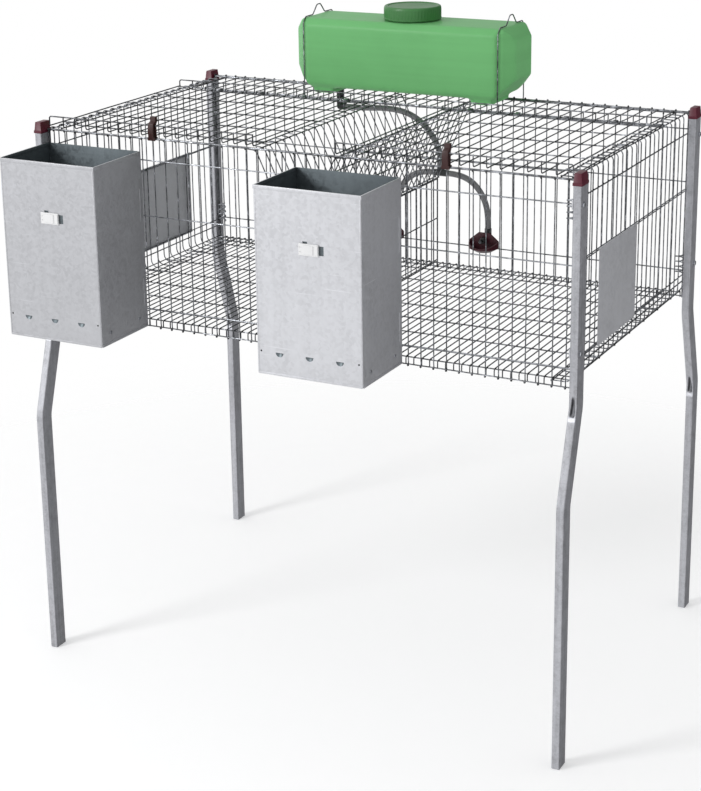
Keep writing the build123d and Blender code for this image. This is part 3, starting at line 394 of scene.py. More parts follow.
def make_finishes(colours):
    """All finishes of the cage, by the record's slot names where they have one."""
    # Much darker copy of the sheet: painted shade inside the hoppers
    inside = [part * shade for part, shade in zip(colours.sheet, (0.20, 0.235, 0.245))]
    FINISHES.update(
        galvanised_wire=zinc_wire("zinc_wire", colours.wire, 0.42, 2.6),
        # Lighter copy of the wire: painted highlight on the front bars, hatch rails and tie coils
        bright_wire=zinc_wire("bright_zinc_wire", scaled(colours.wire, 1.75), 0.45, 1.6),
        # Darker copy of the wire: painted shade on the floor wires, the door wires and the drinker pins
        dark_wire=zinc_wire("dull_zinc_wire", scaled(colours.wire, 0.50), 0.5, 2.0),
        weld=zinc_wire("weld_spots", scaled(colours.wire, 0.22), 0.6, 1.6),
        galvanised_sheet=zinc_sheet("zinc_sheet", colours.sheet, 0.90, 1.06, 210.0),
        # Darker copy of the sheet: painted shade on the left feeder and on the back sheet's cage side
        dull_sheet=zinc_sheet("dull_zinc_sheet", scaled(colours.sheet, 0.80), 0.90, 1.06, 210.0),
        sheet_inside=zinc_sheet("zinc_sheet_inside", inside, 0.80, 1.15, 160.0),
        # Darker, less metallic copy of the sheet: painted shade on the side-facing hatch plates
        hatch_sheet=zinc_sheet("hatch_zinc_sheet", scaled(colours.sheet, 0.82), 0.90, 1.06, 190.0, 0.35),
        galvanised_tube=zinc_tube("zinc_tube", colours.tube, 0.70, 1.22),
        zinc_fastener=zinc_wire("zinc_fastener", scaled(colours.wire, 3.0), 0.8, 1.2),
        dark_red_plastic=moulded("dark_red_plastic", colours.cap, 0.14, 0.34, 0.48, 700.0, 0.10),
        drinker_plastic=moulded("drinker_plastic", colours.cup, 0.16, 0.26, 0.40, 700.0, 0.08),
        brown_plastic=moulded("brown_plastic", colours.latch, 0.20, 0.36, 0.52, 500.0, 0.14),
        white_plastic=moulded("white_plastic", colours.clip, 0.04, 0.34, 0.46, 600.0, 0.06),
        green_plastic=blown_tank("tank_green", colours.tank),
        dark_green_plastic=moulded("cap_green", colours.lid, 0.10, 0.34, 0.48, 650.0, 0.10),
        black_rubber=moulded("black_rubber", linear(32, 32, 33), 0.2, 0.55, 0.75, 400.0, 0.15),
        black_plastic=moulded("black_plastic", linear(38, 38, 40), 0.2, 0.36, 0.5, 600.0, 0.10),
        hose=soft_hose("hose_grey", colours.hose),
        hose_fitting=moulded("fitting_grey", linear(58, 60, 62), 0.15, 0.34, 0.48, 650.0, 0.08),
    )


def select_only(*objects):
    """Select these objects and nothing else; the first becomes active."""
    bpy.ops.object.select_all(action="DESELECT")
    for item in objects:
        item.select_set(True)
    bpy.context.view_layer.objects.active = objects[0]


@contextmanager
def edit_mode(select=None):
    """Edit mode of the active piece, with everything or nothing in it selected if asked."""
    bpy.ops.object.mode_set(mode="EDIT")
    if select:
        bpy.ops.mesh.select_all(action=select)
    yield
    bpy.ops.object.mode_set(mode="OBJECT")


def apply_modifier(piece, name, kind, **settings):
    """Add a modifier to a piece and apply it."""
    select_only(piece)
    modifier = piece.modifiers.new(name, kind)
    for key, value in settings.items():
        setattr(modifier, key, value)
    bpy.ops.object.modifier_apply(modifier=modifier.name)


def ease(piece, width, segments, degrees=40.0):
    """Bevel the edges that are sharper than the angle."""
    limit = math.radians(degrees)
    settings = {"width": width, "segments": segments, "limit_method": "ANGLE", "angle_limit": limit}
    apply_modifier(piece, "ease", "BEVEL", **settings)


def carve(piece, tool, operation="DIFFERENCE"):
    """Cut a tool out of a piece, or join it on, and remove the tool."""
    apply_modifier(piece, "carve", "BOOLEAN", operation=operation, solver="EXACT", object=tool)
    bpy.data.objects.remove(tool)


def joined(*parts):
    """Join parts into the first of them."""
    select_only(*parts)
    bpy.ops.object.join()
    return parts[0]


def smooth(piece, degrees=40.0):
    """Shade smooth, with edges sharper than the angle kept."""
    select_only(piece)
    bpy.ops.object.shade_smooth_by_angle(angle=math.radians(degrees))


def settle(piece, body, slot, nodes=(), finish=None):
    """Give a finished piece its material, its body and the nodes that it stands for."""
    piece.data.materials.clear()
    piece.data.materials.append(FINISHES[finish or slot])
    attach(piece, body)
    if nodes:
        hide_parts(*nodes)
    return piece


def new_object(name, data):
    """Put new data into the scene as an object."""
    made = bpy.data.objects.new(name, data)
    bpy.context.collection.objects.link(made)
    return made


def shaped(name, add, place, **settings):
    """New primitive whose vertices are put in place by a function of their own coordinates."""
    bpy.ops.object.select_all(action="DESELECT")
    add(**settings)
    made = bpy.context.view_layer.objects.active
    made.name = name
    for vertex in made.data.vertices:
        vertex.co = place(*vertex.co)
    return made


def boxed(name, low, high):
    """Box between two corners in millimetres, its place in its mesh."""
    low, high = spot(*low), spot(*high)
    middle = (low + high) / 2

    def place(*parts):
        return middle + Vector([part * (b - a) for part, a, b in zip(parts, low, high)])

    return shaped(name, bpy.ops.mesh.primitive_cube_add, place, size=1.0)


def ring_stack(name, count, rings):
    """Open tube of rings, its vertices ring after ring, the last ring left selected."""
    bpy.ops.object.select_all(action="DESELECT")
    bpy.ops.mesh.primitive_circle_add(vertices=count, fill_type="NOTHING")
    piece = bpy.context.view_layer.objects.active
    piece.name = name
    for _ in range(rings - 1):
        with edit_mode():
            bpy.ops.mesh.extrude_edges_move()
    return piece


def softened(cad_node, body, slot, width, segments=3, finish=None):
    """Copy of a CAD node with its edges eased."""
    piece = new_object(cad_node + "_eased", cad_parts[cad_node].data.copy())
    select_only(piece)
    with edit_mode("SELECT"):
        bpy.ops.mesh.remove_doubles(threshold=0.00001)
        bpy.ops.mesh.dissolve_limited(angle_limit=math.radians(0.5))
    ease(piece, width, segments, 35.0)
    smooth(piece)
    return settle(piece, body, slot, (cad_node,), finish)


def rounded(points, bend, steps=4):
    """Corner points with each corner turned on a bend radius."""
    line = [points[0]]
    for before, corner, after in zip(points, points[1:], points[2:]):
        back, ahead = before - corner, after - corner
        turn = math.pi - back.angle(ahead)
        cut = min(bend * math.tan(turn / 2), back.length * 0.49, ahead.length * 0.49)
        radius = cut / math.tan(turn / 2)
        middle = corner + (back.normalized() + ahead.normalized()).normalized() * radius / math.cos(turn / 2)
        first = corner + back.normalized() * cut - middle
        last = corner + ahead.normalized() * cut - middle
        for step in range(steps + 1):
            share = step / steps
            arm = first * math.sin((1 - share) * turn) + last * math.sin(share * turn)
            line.append(middle + arm / math.sin(turn))
    line.append(points[-1])
    return line


def curl(x, centre, radius, first, last, steps=5):
    """Points round a rod that runs along X, by angles from the back upwards."""
    turns = [math.radians(first + (last - first) * step / steps) for step in range(steps + 1)]
    y, z = centre
    return [spot(x, y + radius * math.cos(turn), z + radius * math.sin(turn)) for turn in turns]


def steps_of(low, high, pitch, margin=8.5):
    """Multiples of the pitch that keep clear of both edges."""
    first = math.ceil((low + margin) / pitch)
    last = math.floor((high - margin) / pitch)
    return [pitch * step for step in range(first, last + 1)]


def rows(edge, half, pitch, margin=8.5):
    """Places of a panel's wires: an edge wire at either end, and multiples of the pitch between them."""
    return [-edge, *steps_of(-half, half, pitch, margin), edge]


def strayed(line, wander, dice):
    """Line whose inner points stray a little, as hand-straightened wire does."""
    inner = [point + Vector([dice.uniform(-wander, wander) for _ in range(3)]) for point in line[1:-1]]
    return [line[0], *inner, line[-1]]


def drawn(start, end, wander, dice, parts):
    """Nearly straight wire between two places."""
    points = [start.lerp(end, step / parts) for step in range(parts + 1)]
    return strayed(points, wander, dice)


def bar_across(half, y, z, wander, dice, parts=8):
    """Nearly straight wire along X, as long to the left as to the right."""
    return drawn(spot(-half, y, z), spot(half, y, z), wander, dice, parts)


def bar_deep(x, half, z, wander, dice, parts=5):
    """Nearly straight wire along Y, as long to the front as to the back."""
    return drawn(spot(x, -half, z), spot(x, half, z), wander, dice, parts)


def crossings(runs, places):
    """Weld places of wires that run along Y, at each (y, z)."""
    return [Vector((run[0].x, spot(0, y, 0).y, z * MM)) for run in runs for y, z in places]


def wire_piece(name, body, nodes, *groups, finish=None):
    """One mesh of round wires; each group is a diameter with its lines."""
    parts = []
    for diameter, runs in groups:
        curve = bpy.data.curves.new(name, "CURVE")
        curve.dimensions = "3D"
        curve.bevel_depth = diameter / 2
        curve.bevel_resolution = 2
        curve.use_fill_caps = True
        for run in runs:
            spline = curve.splines.new("POLY")
            spline.points.add(len(run) - 1)
            for point, place in zip(spline.points, run):
                point.co = (*place, 1.0)
        parts.append(new_object(name, curve))
    select_only(*parts)
    bpy.ops.object.convert(target="MESH")
    if len(parts) > 1:
        bpy.ops.object.join()
    piece = bpy.context.view_layer.objects.active
    piece.name = name
    smooth(piece, 50.0)
    return settle(piece, body, WIRE, nodes, finish)


def weld_spots(name, body, places, size=1.9):
    """Spots where crossing wires are welded, as one mesh of small beads."""
    beads = bmesh.new()
    for place in places:
        bmesh.ops.create_icosphere(beads, subdivisions=1, radius=size * MM, matrix=Matrix.Translation(place))
    data = bpy.data.meshes.new(name)
    beads.to_mesh(data)
    beads.free()
    piece = new_object(name, data)
    smooth(piece, 80.0)
    return settle(piece, body, WIRE, finish="weld")


def tie_coil(name, x, y, low, diameter):
    """Coil of wire that ties two panels' edge wires together at a corner."""
    turns, tall, radius, parts = 4, 40, 7.4, 16
    coil = []
    for step in range(turns * parts + 1):
        turn = 2 * math.pi * step / parts
        height = low + tall * step / (turns * parts)
        coil.append(spot(x + radius * math.cos(turn), y + radius * math.sin(turn), height))
    # The coil gets the lighter wire: painted highlight
    wire_piece(name, "cage", (), (diameter, [coil]), finish="bright_wire")


class CAGE_OT_legs(bpy.types.Operator):
    """Four joggled leg tubes with their bend dents, caps, bolts and clamp plates."""

    bl_idname = "cage.legs"
    bl_label = "Legs"

    place = 525.5
    line = 300
    width = 15.0
    depth = 30.0
    top = 1016.5
    kick = 50.0
    kick_top = 640.0
    kick_low = 480.0
    bend = 60.0
    bend_parts = 8
    wall = 1.2
    dent_rise = 22
    dent_length = 48
    dent_end = 0.80
    dent_rim = 0.72

    def outline(self, corner, turns=4):
        """Rounded rectangle of the tube, counter-clockwise, in millimetres."""
        right, back = self.width / 2, self.depth / 2
        inner = [(right - corner, back - corner), (corner - right, back - corner)]
        inner += [(corner - right, corner - back), (right - corner, corner - back)]
        points = []
        for quarter, (u, v) in enumerate(inner):
            for step in range(turns + 1):
                turn = math.radians(90 * (quarter + step / turns))
                points.append((u + corner * math.cos(turn), v + corner * math.sin(turn)))
            ahead = inner[(quarter + 1) % 4]
            turn = math.radians(90 * (quarter + 1))
            columns = 4 if quarter % 2 else 14
            for step in range(1, columns):
                share = step / columns
                points.append((
                    u + (ahead[0] - u) * share + corner * math.cos(turn),
                    v + (ahead[1] - v) * share + corner * math.sin(turn),
                ))
        return points

    def path(self, away):
        """Places up the leg with the tube's lean there, as (y, z, lean)."""
        lean = math.atan2(self.kick, self.kick_top - self.kick_low)
        reach = self.bend * math.tan(lean / 2)
        foot, head = away * (self.line + self.kick), away * self.line
        near = [3.0 * step for step in range(1, 10)]
        rings = [(foot, z, 0.0) for z in (0.0, 60.0, 200.0, 340.0, 440.0)]
        rings += [(foot, self.kick_low - reach - way, 0.0) for way in reversed(near)]
        for step in range(self.bend_parts + 1):
            turn = lean * step / self.bend_parts
            y = foot - away * self.bend * (1 - math.cos(turn))
            rings.append((y, self.kick_low - reach + self.bend * math.sin(turn), turn))
        low_y, low_z = rings[-1][:2]
        run = (self.kick_top - self.kick_low) / math.cos(lean) - 2 * reach
        along = [*near, run / 3, run / 2, run * 2 / 3, *(run - way for way in reversed(near))]
        for way in along:
            rings.append((low_y - away * way * math.sin(lean), low_z + way * math.cos(lean), lean))
        for step in range(self.bend_parts + 1):
            turn = lean * (1 - step / self.bend_parts)
            y = head + away * self.bend * (1 - math.cos(turn))
            rings.append((y, self.kick_top + reach - self.bend * math.sin(turn), turn))
        rings += [(head, self.kick_top + reach + way, 0.0) for way in near]
        rings += [(head, z, 0.0) for z in (720.0, 800.0, 900.0, self.top)]
        return rings

    def dent(self, u, v, z, away, depth):
        """Pinch on a bend's hollow side: its move along the tube's depth, and its painted light, below zero
        painted shade in the dent and above zero a painted highlight on the facet below it.
        """
        half = self.depth / 2
        for level, face in ((self.kick_top, away), (self.kick_low, -away)):
            down = (level + self.dent_rise - z) / self.dent_length
            if v * face < half - 0.2 or not 0 < down < 1:
                continue
            if down > self.dent_end:
                # Facet below the dent: painted highlight
                return 0.0, min((down - self.dent_end) / 0.05, (1 - down) / 0.05, 1.0)
            width = 2.0 + 3.6 * down
            share = min(abs(u) / width, 1.0)
            along = min(down / 0.15, (self.dent_end + 0.04 - down) / 0.10, 1.0)
            rim = max(1 - abs(share - self.dent_rim) / (1 - self.dent_rim), 0.0)
            # Inside the dent: painted shade, darkest along its rim
            return -face * depth * (1 - share ** 2) * along, -along * (rim + 0.35 * (share < self.dent_rim))
        return 0.0, 0.0

    def tube(self, name, x, away, sizes):
        """Tube drawn up the leg's path, its bends pinched."""
        outline = self.outline(sizes.tube_corner / MM)
        rings = self.path(away)
        count = len(outline)
        piece = ring_stack(name, count, len(rings))
        # The crease attribute holds the dents' painted light
        crease = piece.data.attributes.new("crease", "FLOAT", "POINT")
        for number, (y, z, lean) in enumerate(rings):
            for step, (u, v) in enumerate(outline):
                dent, shade = self.dent(u, v, z, away, sizes.dent / MM)
                across = v + dent
                place = spot(x + u, y + across * math.cos(lean), z + away * across * math.sin(lean))
                piece.data.vertices[number * count + step].co = place
                crease.data[number * count + step].value = shade
        with edit_mode("SELECT"):
            bpy.ops.mesh.normals_make_consistent(inside=False)
        apply_modifier(piece, "wall", "SOLIDIFY", thickness=self.wall * MM, offset=-1.0)
        smooth(piece)
        return piece

    def execute(self, context):
        sizes = context.scene.cage_sheet
        for end, away in ENDS.items():
            for side, out in SIDES.items():
                name = f"{end}_{side}_leg"
                piece = self.tube(name + "_tube", out * self.place, away, sizes)
                settle(piece, "cage", "galvanised_tube", (name,))
                softened(f"{end}_{side}_cap", "cage", "dark_red_plastic", 1.3 * MM)
        softened("leg_bolts", "cage", "zinc_fastener", 0.9 * MM)
        softened("clamp_plates", "cage", SHEET, 0.4 * MM, 2)
        return {"FINISHED"}


class CAGE_OT_front(bpy.types.Operator):
    """Front panel with its feeding mouths, hooked under the front top rod."""

    bl_idname = "cage.front"
    bl_label = "Front panel"

    stay_line = -294.2
    weld_line = -294.9
    bar_line = -295.6
    loop_place = (-296.0, 667.6)
    cut_foot = 668.7
    latch_head = 1018
    feeder_reach = 104
    rod_diameter = 4.0
    tie = (-293.5, 952)

    def execute(self, context):
        wire = context.scene.cage_wire
        dice = random.Random(11)
        line = self.stay_line
        stays, welds, loops = [], [], []
        for x in rows(EDGE_STAY, BOX_HALF, wire.pitch / MM):
            neck, ankle = spot(x, line, HOOK_START), spot(x, line, FOOT_END)
            head = [neck, *curl(x, FRONT_ROD, 3.1, -72, -196)]
            if abs(abs(x) - LATCH_PLACE) < 1:
                head = [neck, spot(x, line, self.latch_head)]
            foot = [spot(x, line, self.cut_foot), ankle]
            if all(abs(x - centre) >= self.feeder_reach for centre in FEEDER_CENTRES.values()):
                foot = [*curl(x, (self.bar_line, PANEL_FOOT), 2.4, -160, 35), ankle]
                loops.append(spot(x, *self.loop_place))
            levels = [PANEL_FOOT, *FRONT_LEVELS]
            if any(low + 1 < x < high - 1 for low, high in MOUTHS):
                levels.append(MOUTH_TOP)
                stays.append([*foot, spot(x, line, FRONT_LEVELS[0])])
                stays.append([spot(x, line, MOUTH_TOP), spot(x, line, 880), *head])
            else:
                whole = [ankle, spot(x, line, 780), spot(x, line, 900), neck]
                stays.append([*foot, *strayed(whole, wire.wander, dice)[1:-1], *head])
            welds += [spot(x, self.weld_line, level) for level in levels]
        foot_bar = bar_across(BAR_HALF, self.bar_line, PANEL_FOOT, wire.wander, dice)
        bars = [bar_across(BAR_HALF, self.bar_line, level, wire.wander, dice) for level in FRONT_LEVELS]
        bars += [[spot(x, self.bar_line, MOUTH_TOP) for x in mouth] for mouth in MOUTHS]
        wire_piece("front_panel_stays", "cage", ("front_panel",), (wire.stay, stays), (wire.bar, [foot_bar]))
        # The front bars get the lighter wire: painted highlight
        wire_piece("front_panel_bars", "cage", (), (wire.bar, bars), finish="bright_wire")
        weld_spots("front_panel_welds", "cage", welds)
        weld_spots("front_panel_loops", "cage", loops, 2.3)
        rod = bar_across(ROD_HALF, *FRONT_ROD, wire.wander, dice)
        wire_piece("front_rod", "cage", ("front_top_rod",), (self.rod_diameter * MM, [rod]))
        tie_coil("front_right_tie_coil", TIE_PLACE, *self.tie, wire.bar)
        return {"FINISHED"}


class CAGE_OT_rear(bpy.types.Operator):
    """Rear panel whose wires are wrapped over the rear top rod."""

    bl_idname = "cage.rear"
    bl_label = "Rear panel"

    stay_line = 294.2
    weld_line = 295.0
    bar_line = 295.9
    rod_weld = (294.6, 1020.6)
    rod_diameter = 5.2
    tie = (293.5, 713)

    def execute(self, context):
        wire = context.scene.cage_wire
        dice = random.Random(12)
        line = self.stay_line
        levels = (PANEL_FOOT, *REAR_LEVELS)
        stays, welds = [], []
        for x in rows(EDGE_STAY, BOX_HALF, wire.rear_pitch / MM, 8.3):
            welds += [spot(x, self.weld_line, level) for level in levels]
            welds.append(spot(x, *self.rod_weld))
            neck, ankle = spot(x, line, HOOK_START), spot(x, line, FOOT_END)
            head = [neck, *curl(x, REAR_ROD, 4.0, -116, 150, 7)]
            foot = [*curl(x, (self.bar_line, PANEL_FOOT), 2.4, -20, -215, 4), ankle]
            whole = [ankle, spot(x, line, 790), spot(x, line, 900), neck]
            stays.append([*foot, *strayed(whole, wire.wander, dice)[1:-1], *head])
        bars = [bar_across(BAR_HALF, self.bar_line, level, wire.wander, dice) for level in levels]
        wire_piece("rear_panel_wires", "cage", ("rear_panel",), (wire.stay, stays), (wire.bar, bars))
        weld_spots("rear_panel_welds", "cage", welds)
        rod = bar_across(ROD_HALF, *REAR_ROD, wire.wander, dice)
        wire_piece("rear_rod", "cage", ("rear_top_rod",), (self.rod_diameter * MM, [rod]))
        for side, out in SIDES.items():
            tie_coil(f"rear_{side}_tie_coil", out * TIE_PLACE, *self.tie, wire.bar)
        return {"FINISHED"}


class CAGE_OT_floor(bpy.types.Operator):
    """Floor of close wires with turned-down ends, on carrier bars."""

    bl_idname = "cage.floor_mat"
    bl_label = "Floor"

    corners = ((-291.3, 668.6), (-291.3, 681.7), (0, 681.7), (291.3, 681.7), (291.3, 668.6))
    bend = 4.5
    half = 513.6
    edge_stay = 512.3
    edge_bar = 286.0
    bar_pitch = 78
    bar_half = 513.2
    bar_level = 679.7
    weld_level = 680.7

    def execute(self, context):
        wire = context.scene.cage_wire
        dice = random.Random(13)
        stays = []
        for x in rows(self.edge_stay, self.half, wire.floor_pitch / MM, 6.25):
            places = [spot(x, y, z) for y, z in self.corners]
            front = rounded(places[:3], self.bend * MM)
            rear = rounded(places[2:], self.bend * MM)
            stays.append([*front, *rear[1:]])
        bars, welds = [], []
        for y in rows(self.edge_bar, DEPTH_HALF, self.bar_pitch, 22):
            bars.append(bar_across(self.bar_half, y, self.bar_level, wire.wander, dice))
            welds += crossings(stays, [(y, self.weld_level)])
        # The floor wires get the darker wire: painted shade
        wire_piece("floor_stays", "cage", ("floor_panel",), (wire.stay, stays), finish="dark_wire")
        wire_piece("floor_bars", "cage", (), (wire.bar, bars))
        weld_spots("floor_welds", "cage", welds, 1.8)
        return {"FINISHED"}


class CAGE_OT_walls(bpy.types.Operator):
    """Side walls bent round into the roof and the floor, with the hatch openings and their rails."""

    bl_idname = "cage.walls"
    bl_label = "Side walls"

    edge_stay = 291.0
    line = 515.6
    roof_reach = 488.2
    floor_reach = 477.2
    floor = 677.7
    middle = 840
    rails = ((513.4, 291, HATCH_RAILS[1]), (518.0, 284.5, HATCH_RAILS[0]), (518.0, 284.5, HATCH_RAILS[1]))
    bars = (
        (517.5, 284, 703), (517.5, 284, 989),
        (488.9, 291.8, 1024.0), (508.4, 291.8, 1023.4), (477.9, 291.8, 676.0),
    )
    welds = (
        (516.6, 703), (516.6, 989), (489.0, 1025.0), (508.4, 1024.7), (477.9, 676.8),
        (516.8, HATCH_RAILS[0]), (516.8, HATCH_RAILS[1]),
    )

    def execute(self, context):
        wire = context.scene.cage_wire
        rail_low, rail_high = HATCH_RAILS
        for side, out in SIDES.items():
            dice = random.Random(14 + out)
            wall, roof_end, floor_end = out * self.line, out * self.roof_reach, out * self.floor_reach
            first, last = HATCH_WINDOWS[side]
            stays, welds = [], []
            for y in rows(self.edge_stay, DEPTH_HALF, wire.pitch / MM):
                welds += [spot(out * x, y, level) for x, level in self.welds]
                roof = [spot(roof_end, y, ROOF), spot(wall, y, ROOF)]
                floor = [spot(wall, y, self.floor), spot(floor_end, y, self.floor)]
                if first + 1 < y < last - 1:
                    stays.append(rounded([*roof, spot(wall, y, rail_high)], wire.bend))
                    stays.append(rounded([spot(wall, y, rail_low), *floor], wire.low_bend))
                    continue
                middle = spot(wall, y, self.middle)
                upper = rounded([*roof, middle], wire.bend)
                lower = rounded([middle, *floor], wire.low_bend)
                inner = strayed([upper[-2], middle, lower[1]], wire.wander, dice)[1]
                stays.append([*upper[:-1], inner, *lower[1:]])
            bars = [bar_deep(out * x, half, z, wire.wander, dice) for x, half, z in self.bars]
            nodes = (f"{side}_wall", f"{side}_flanges")
            wire_piece(f"{side}_wall_wires", "cage", nodes, (wire.stay, stays), (wire.bar, bars))
            weld_spots(f"{side}_wall_welds", "cage", welds)
            rails = []
            for x, half, level in self.rails:
                rails.append([spot(out * x, -half, level), spot(out * x, half, level)])
            # The hatch rails get the lighter wire: painted highlight
            wire_piece(f"{side}_hatch_rails", "cage", (), (wire.stay, rails), finish="bright_wire")
        return {"FINISHED"}


class CAGE_OT_roof(bpy.types.Operator):
    """Fixed roof strip on the hinge rod, and the two roof doors with turned-up edges and rings."""

    bl_idname = "cage.roof"
    bl_label = "Roof and doors"

    strip_half = 487.4
    strip_edge = 486.4
    strip_bars = (230.0, 289.0)
    rod_diameter = 3.6
    door_bars = (-256, -152, -48, 56, 144)
    bar_level = 1025.0
    weld_level = 1025.7
    door_front = -295.0
    door_rear = 151.5
    door_inner = 80
    door_outer = 482.9
    door_edges = (81.4, 481.5)
    stay_levels = (1047.6, 1026.5, 1042.6)
    edge_levels = (1047.4, 1026.2, 1042.4)
    bar_turns = ((485, 1028.9), (512.2, 1028.9))
    lips = ((-296.1, 1046.4), (150.2, 1041.5))
    arm = 511.2
    arm_ends = (-295.2, 151.7)
    arm_level = 1029.2

    def door_wire(self, x, front_top, level, rear_top):
        """Wire along a door, turned up at the front and the rear."""
        front, rear = self.door_front, self.door_rear
        corners = ((front, front_top), (front, level), (rear, level), (rear, rear_top))
        return rounded([spot(x, y, z) for y, z in corners], 5 * MM)

    def door(self, side, out, wire, dice):
        """One roof door with its rings and its latch."""
        body = f"{side}_door"
        arm = out * self.arm
        places = steps_of(self.door_inner, self.door_outer, wire.pitch / MM)
        stays = [self.door_wire(out * x, *self.stay_levels) for x in places]
        bars = [self.door_wire(out * x, *self.edge_levels) for x in self.door_edges]
        for y in self.door_bars:
            start, end = spot(out * 80.6, y, self.bar_level), spot(out * 478, y, self.bar_level)
            run = drawn(start, end, wire.wander, dice, 5)
            bars.append([*run, *(spot(out * x, y, z) for x, z in self.bar_turns)])
        for y, z in self.lips:
            lip = [spot(out * 80.4, y, z), spot(arm, y, z), spot(arm, y, 1029.5)]
            bars.append(rounded(lip, 4 * MM))
        start, end = [spot(arm, y, self.arm_level) for y in self.arm_ends]
        bars.append(drawn(start, end, wire.wander, dice, 5))
        # The door stays, and the left door's bars, get the darker wire: painted shade
        wire_piece(f"{side}_door_stays", body, (body,), (wire.stay, stays), finish="dark_wire")
        dull = "dark_wire" if side == "left" else None
        wire_piece(f"{side}_door_bars", body, (), (wire.bar, bars), finish=dull)
        welds = crossings(stays, [*((y, self.weld_level) for y in self.door_bars), (-295.5, 1046.2)])
        welds += [spot(arm, y, 1029.0) for y in self.door_bars]
        weld_spots(f"{side}_door_welds", body, welds)
        softened(f"{side}_hinge_rings", body, WIRE, 0.3 * MM, 2)
        softened(f"{side}_latch", body, "brown_plastic", 1.2 * MM)

    def execute(self, context):
        wire = context.scene.cage_wire
        dice = random.Random(21)
        stays = []
        for x in rows(self.strip_edge, 487.6, wire.pitch / MM):
            hook = curl(x, HINGE, 2.9, -100, -270)
            stays.append([*hook, spot(x, 170, 1027.6), spot(x, 292.0, 1026.2)])
        bars = [bar_across(self.strip_half, y, self.bar_level, wire.wander, dice) for y in self.strip_bars]
        wire_piece("roof_strip_wires", "cage", ("roof_strip",), (wire.stay, stays), (wire.bar, bars))
        welds = crossings(stays, [(y, self.weld_level) for y in self.strip_bars])
        weld_spots("roof_strip_welds", "cage", welds)
        rod = bar_across(self.strip_half, *HINGE, 0.0, dice, 6)
        wire_piece("hinge_bar", "cage", ("hinge_rod",), (self.rod_diameter * MM, [rod]))
        for side, out in SIDES.items():
            self.door(side, out, wire, dice)
        return {"FINISHED"}


class CAGE_OT_rack(bpy.types.Operator):
    """Hay rack of two slanted wire panels, and the divider below it."""

    bl_idname = "cage.rack"
    bl_label = "Hay rack"

    edge_stay = 291.4
    bar_half = 292.4
    foot = (2.0, 855.6)
    head = (78.0, 1020.0)
    turned_out = (94.0, 1019.6)
    bar_shares = (0.008, 0.5, 0.992)
    divider_ends = (682.9, 853.1)
    divider_bars = (684.2, 771, 852)

    def execute(self, context):
        wire = context.scene.cage_wire
        dice = random.Random(31)
        places = rows(self.edge_stay, DEPTH_HALF, wire.pitch / MM)
        for side, out in SIDES.items():
            foot, head, end = [Vector((out * x, z)) for x, z in (self.foot, self.head, self.turned_out)]
            turned = [foot, foot.lerp(head, 0.4), foot.lerp(head, 0.99), end]
            stays = [rounded([spot(x, y, z) for x, z in turned], 12 * MM, 3) for y in places]
            bars, welds = [], []
            for share in self.bar_shares:
                x, z = foot.lerp(head, share)
                x += out * 1.6
                bars.append(bar_deep(x, self.bar_half, z, wire.wander, dice))
                welds += [spot(x - out * 0.8, y, z) for y in places]
            weld_spots(f"{side}_rack_welds", "cage", welds)
            nodes = (f"{side}_rack_panel",)
            wire_piece(f"{side}_rack_wires", "cage", nodes, (wire.stay, stays), (wire.bar, bars))
        stays = [[spot(0.5, y, z) for z in self.divider_ends] for y in places]
        bars = [bar_deep(-0.9, self.bar_half, z, wire.wander, dice) for z in self.divider_bars]
        wire_piece("divider_wires", "cage", ("divider",), (wire.stay, stays), (wire.bar, bars))
        welds = [spot(-0.2, y, z) for y in places for z in self.divider_bars[1:]]
        weld_spots("divider_welds", "cage", welds)
        return {"FINISHED"}


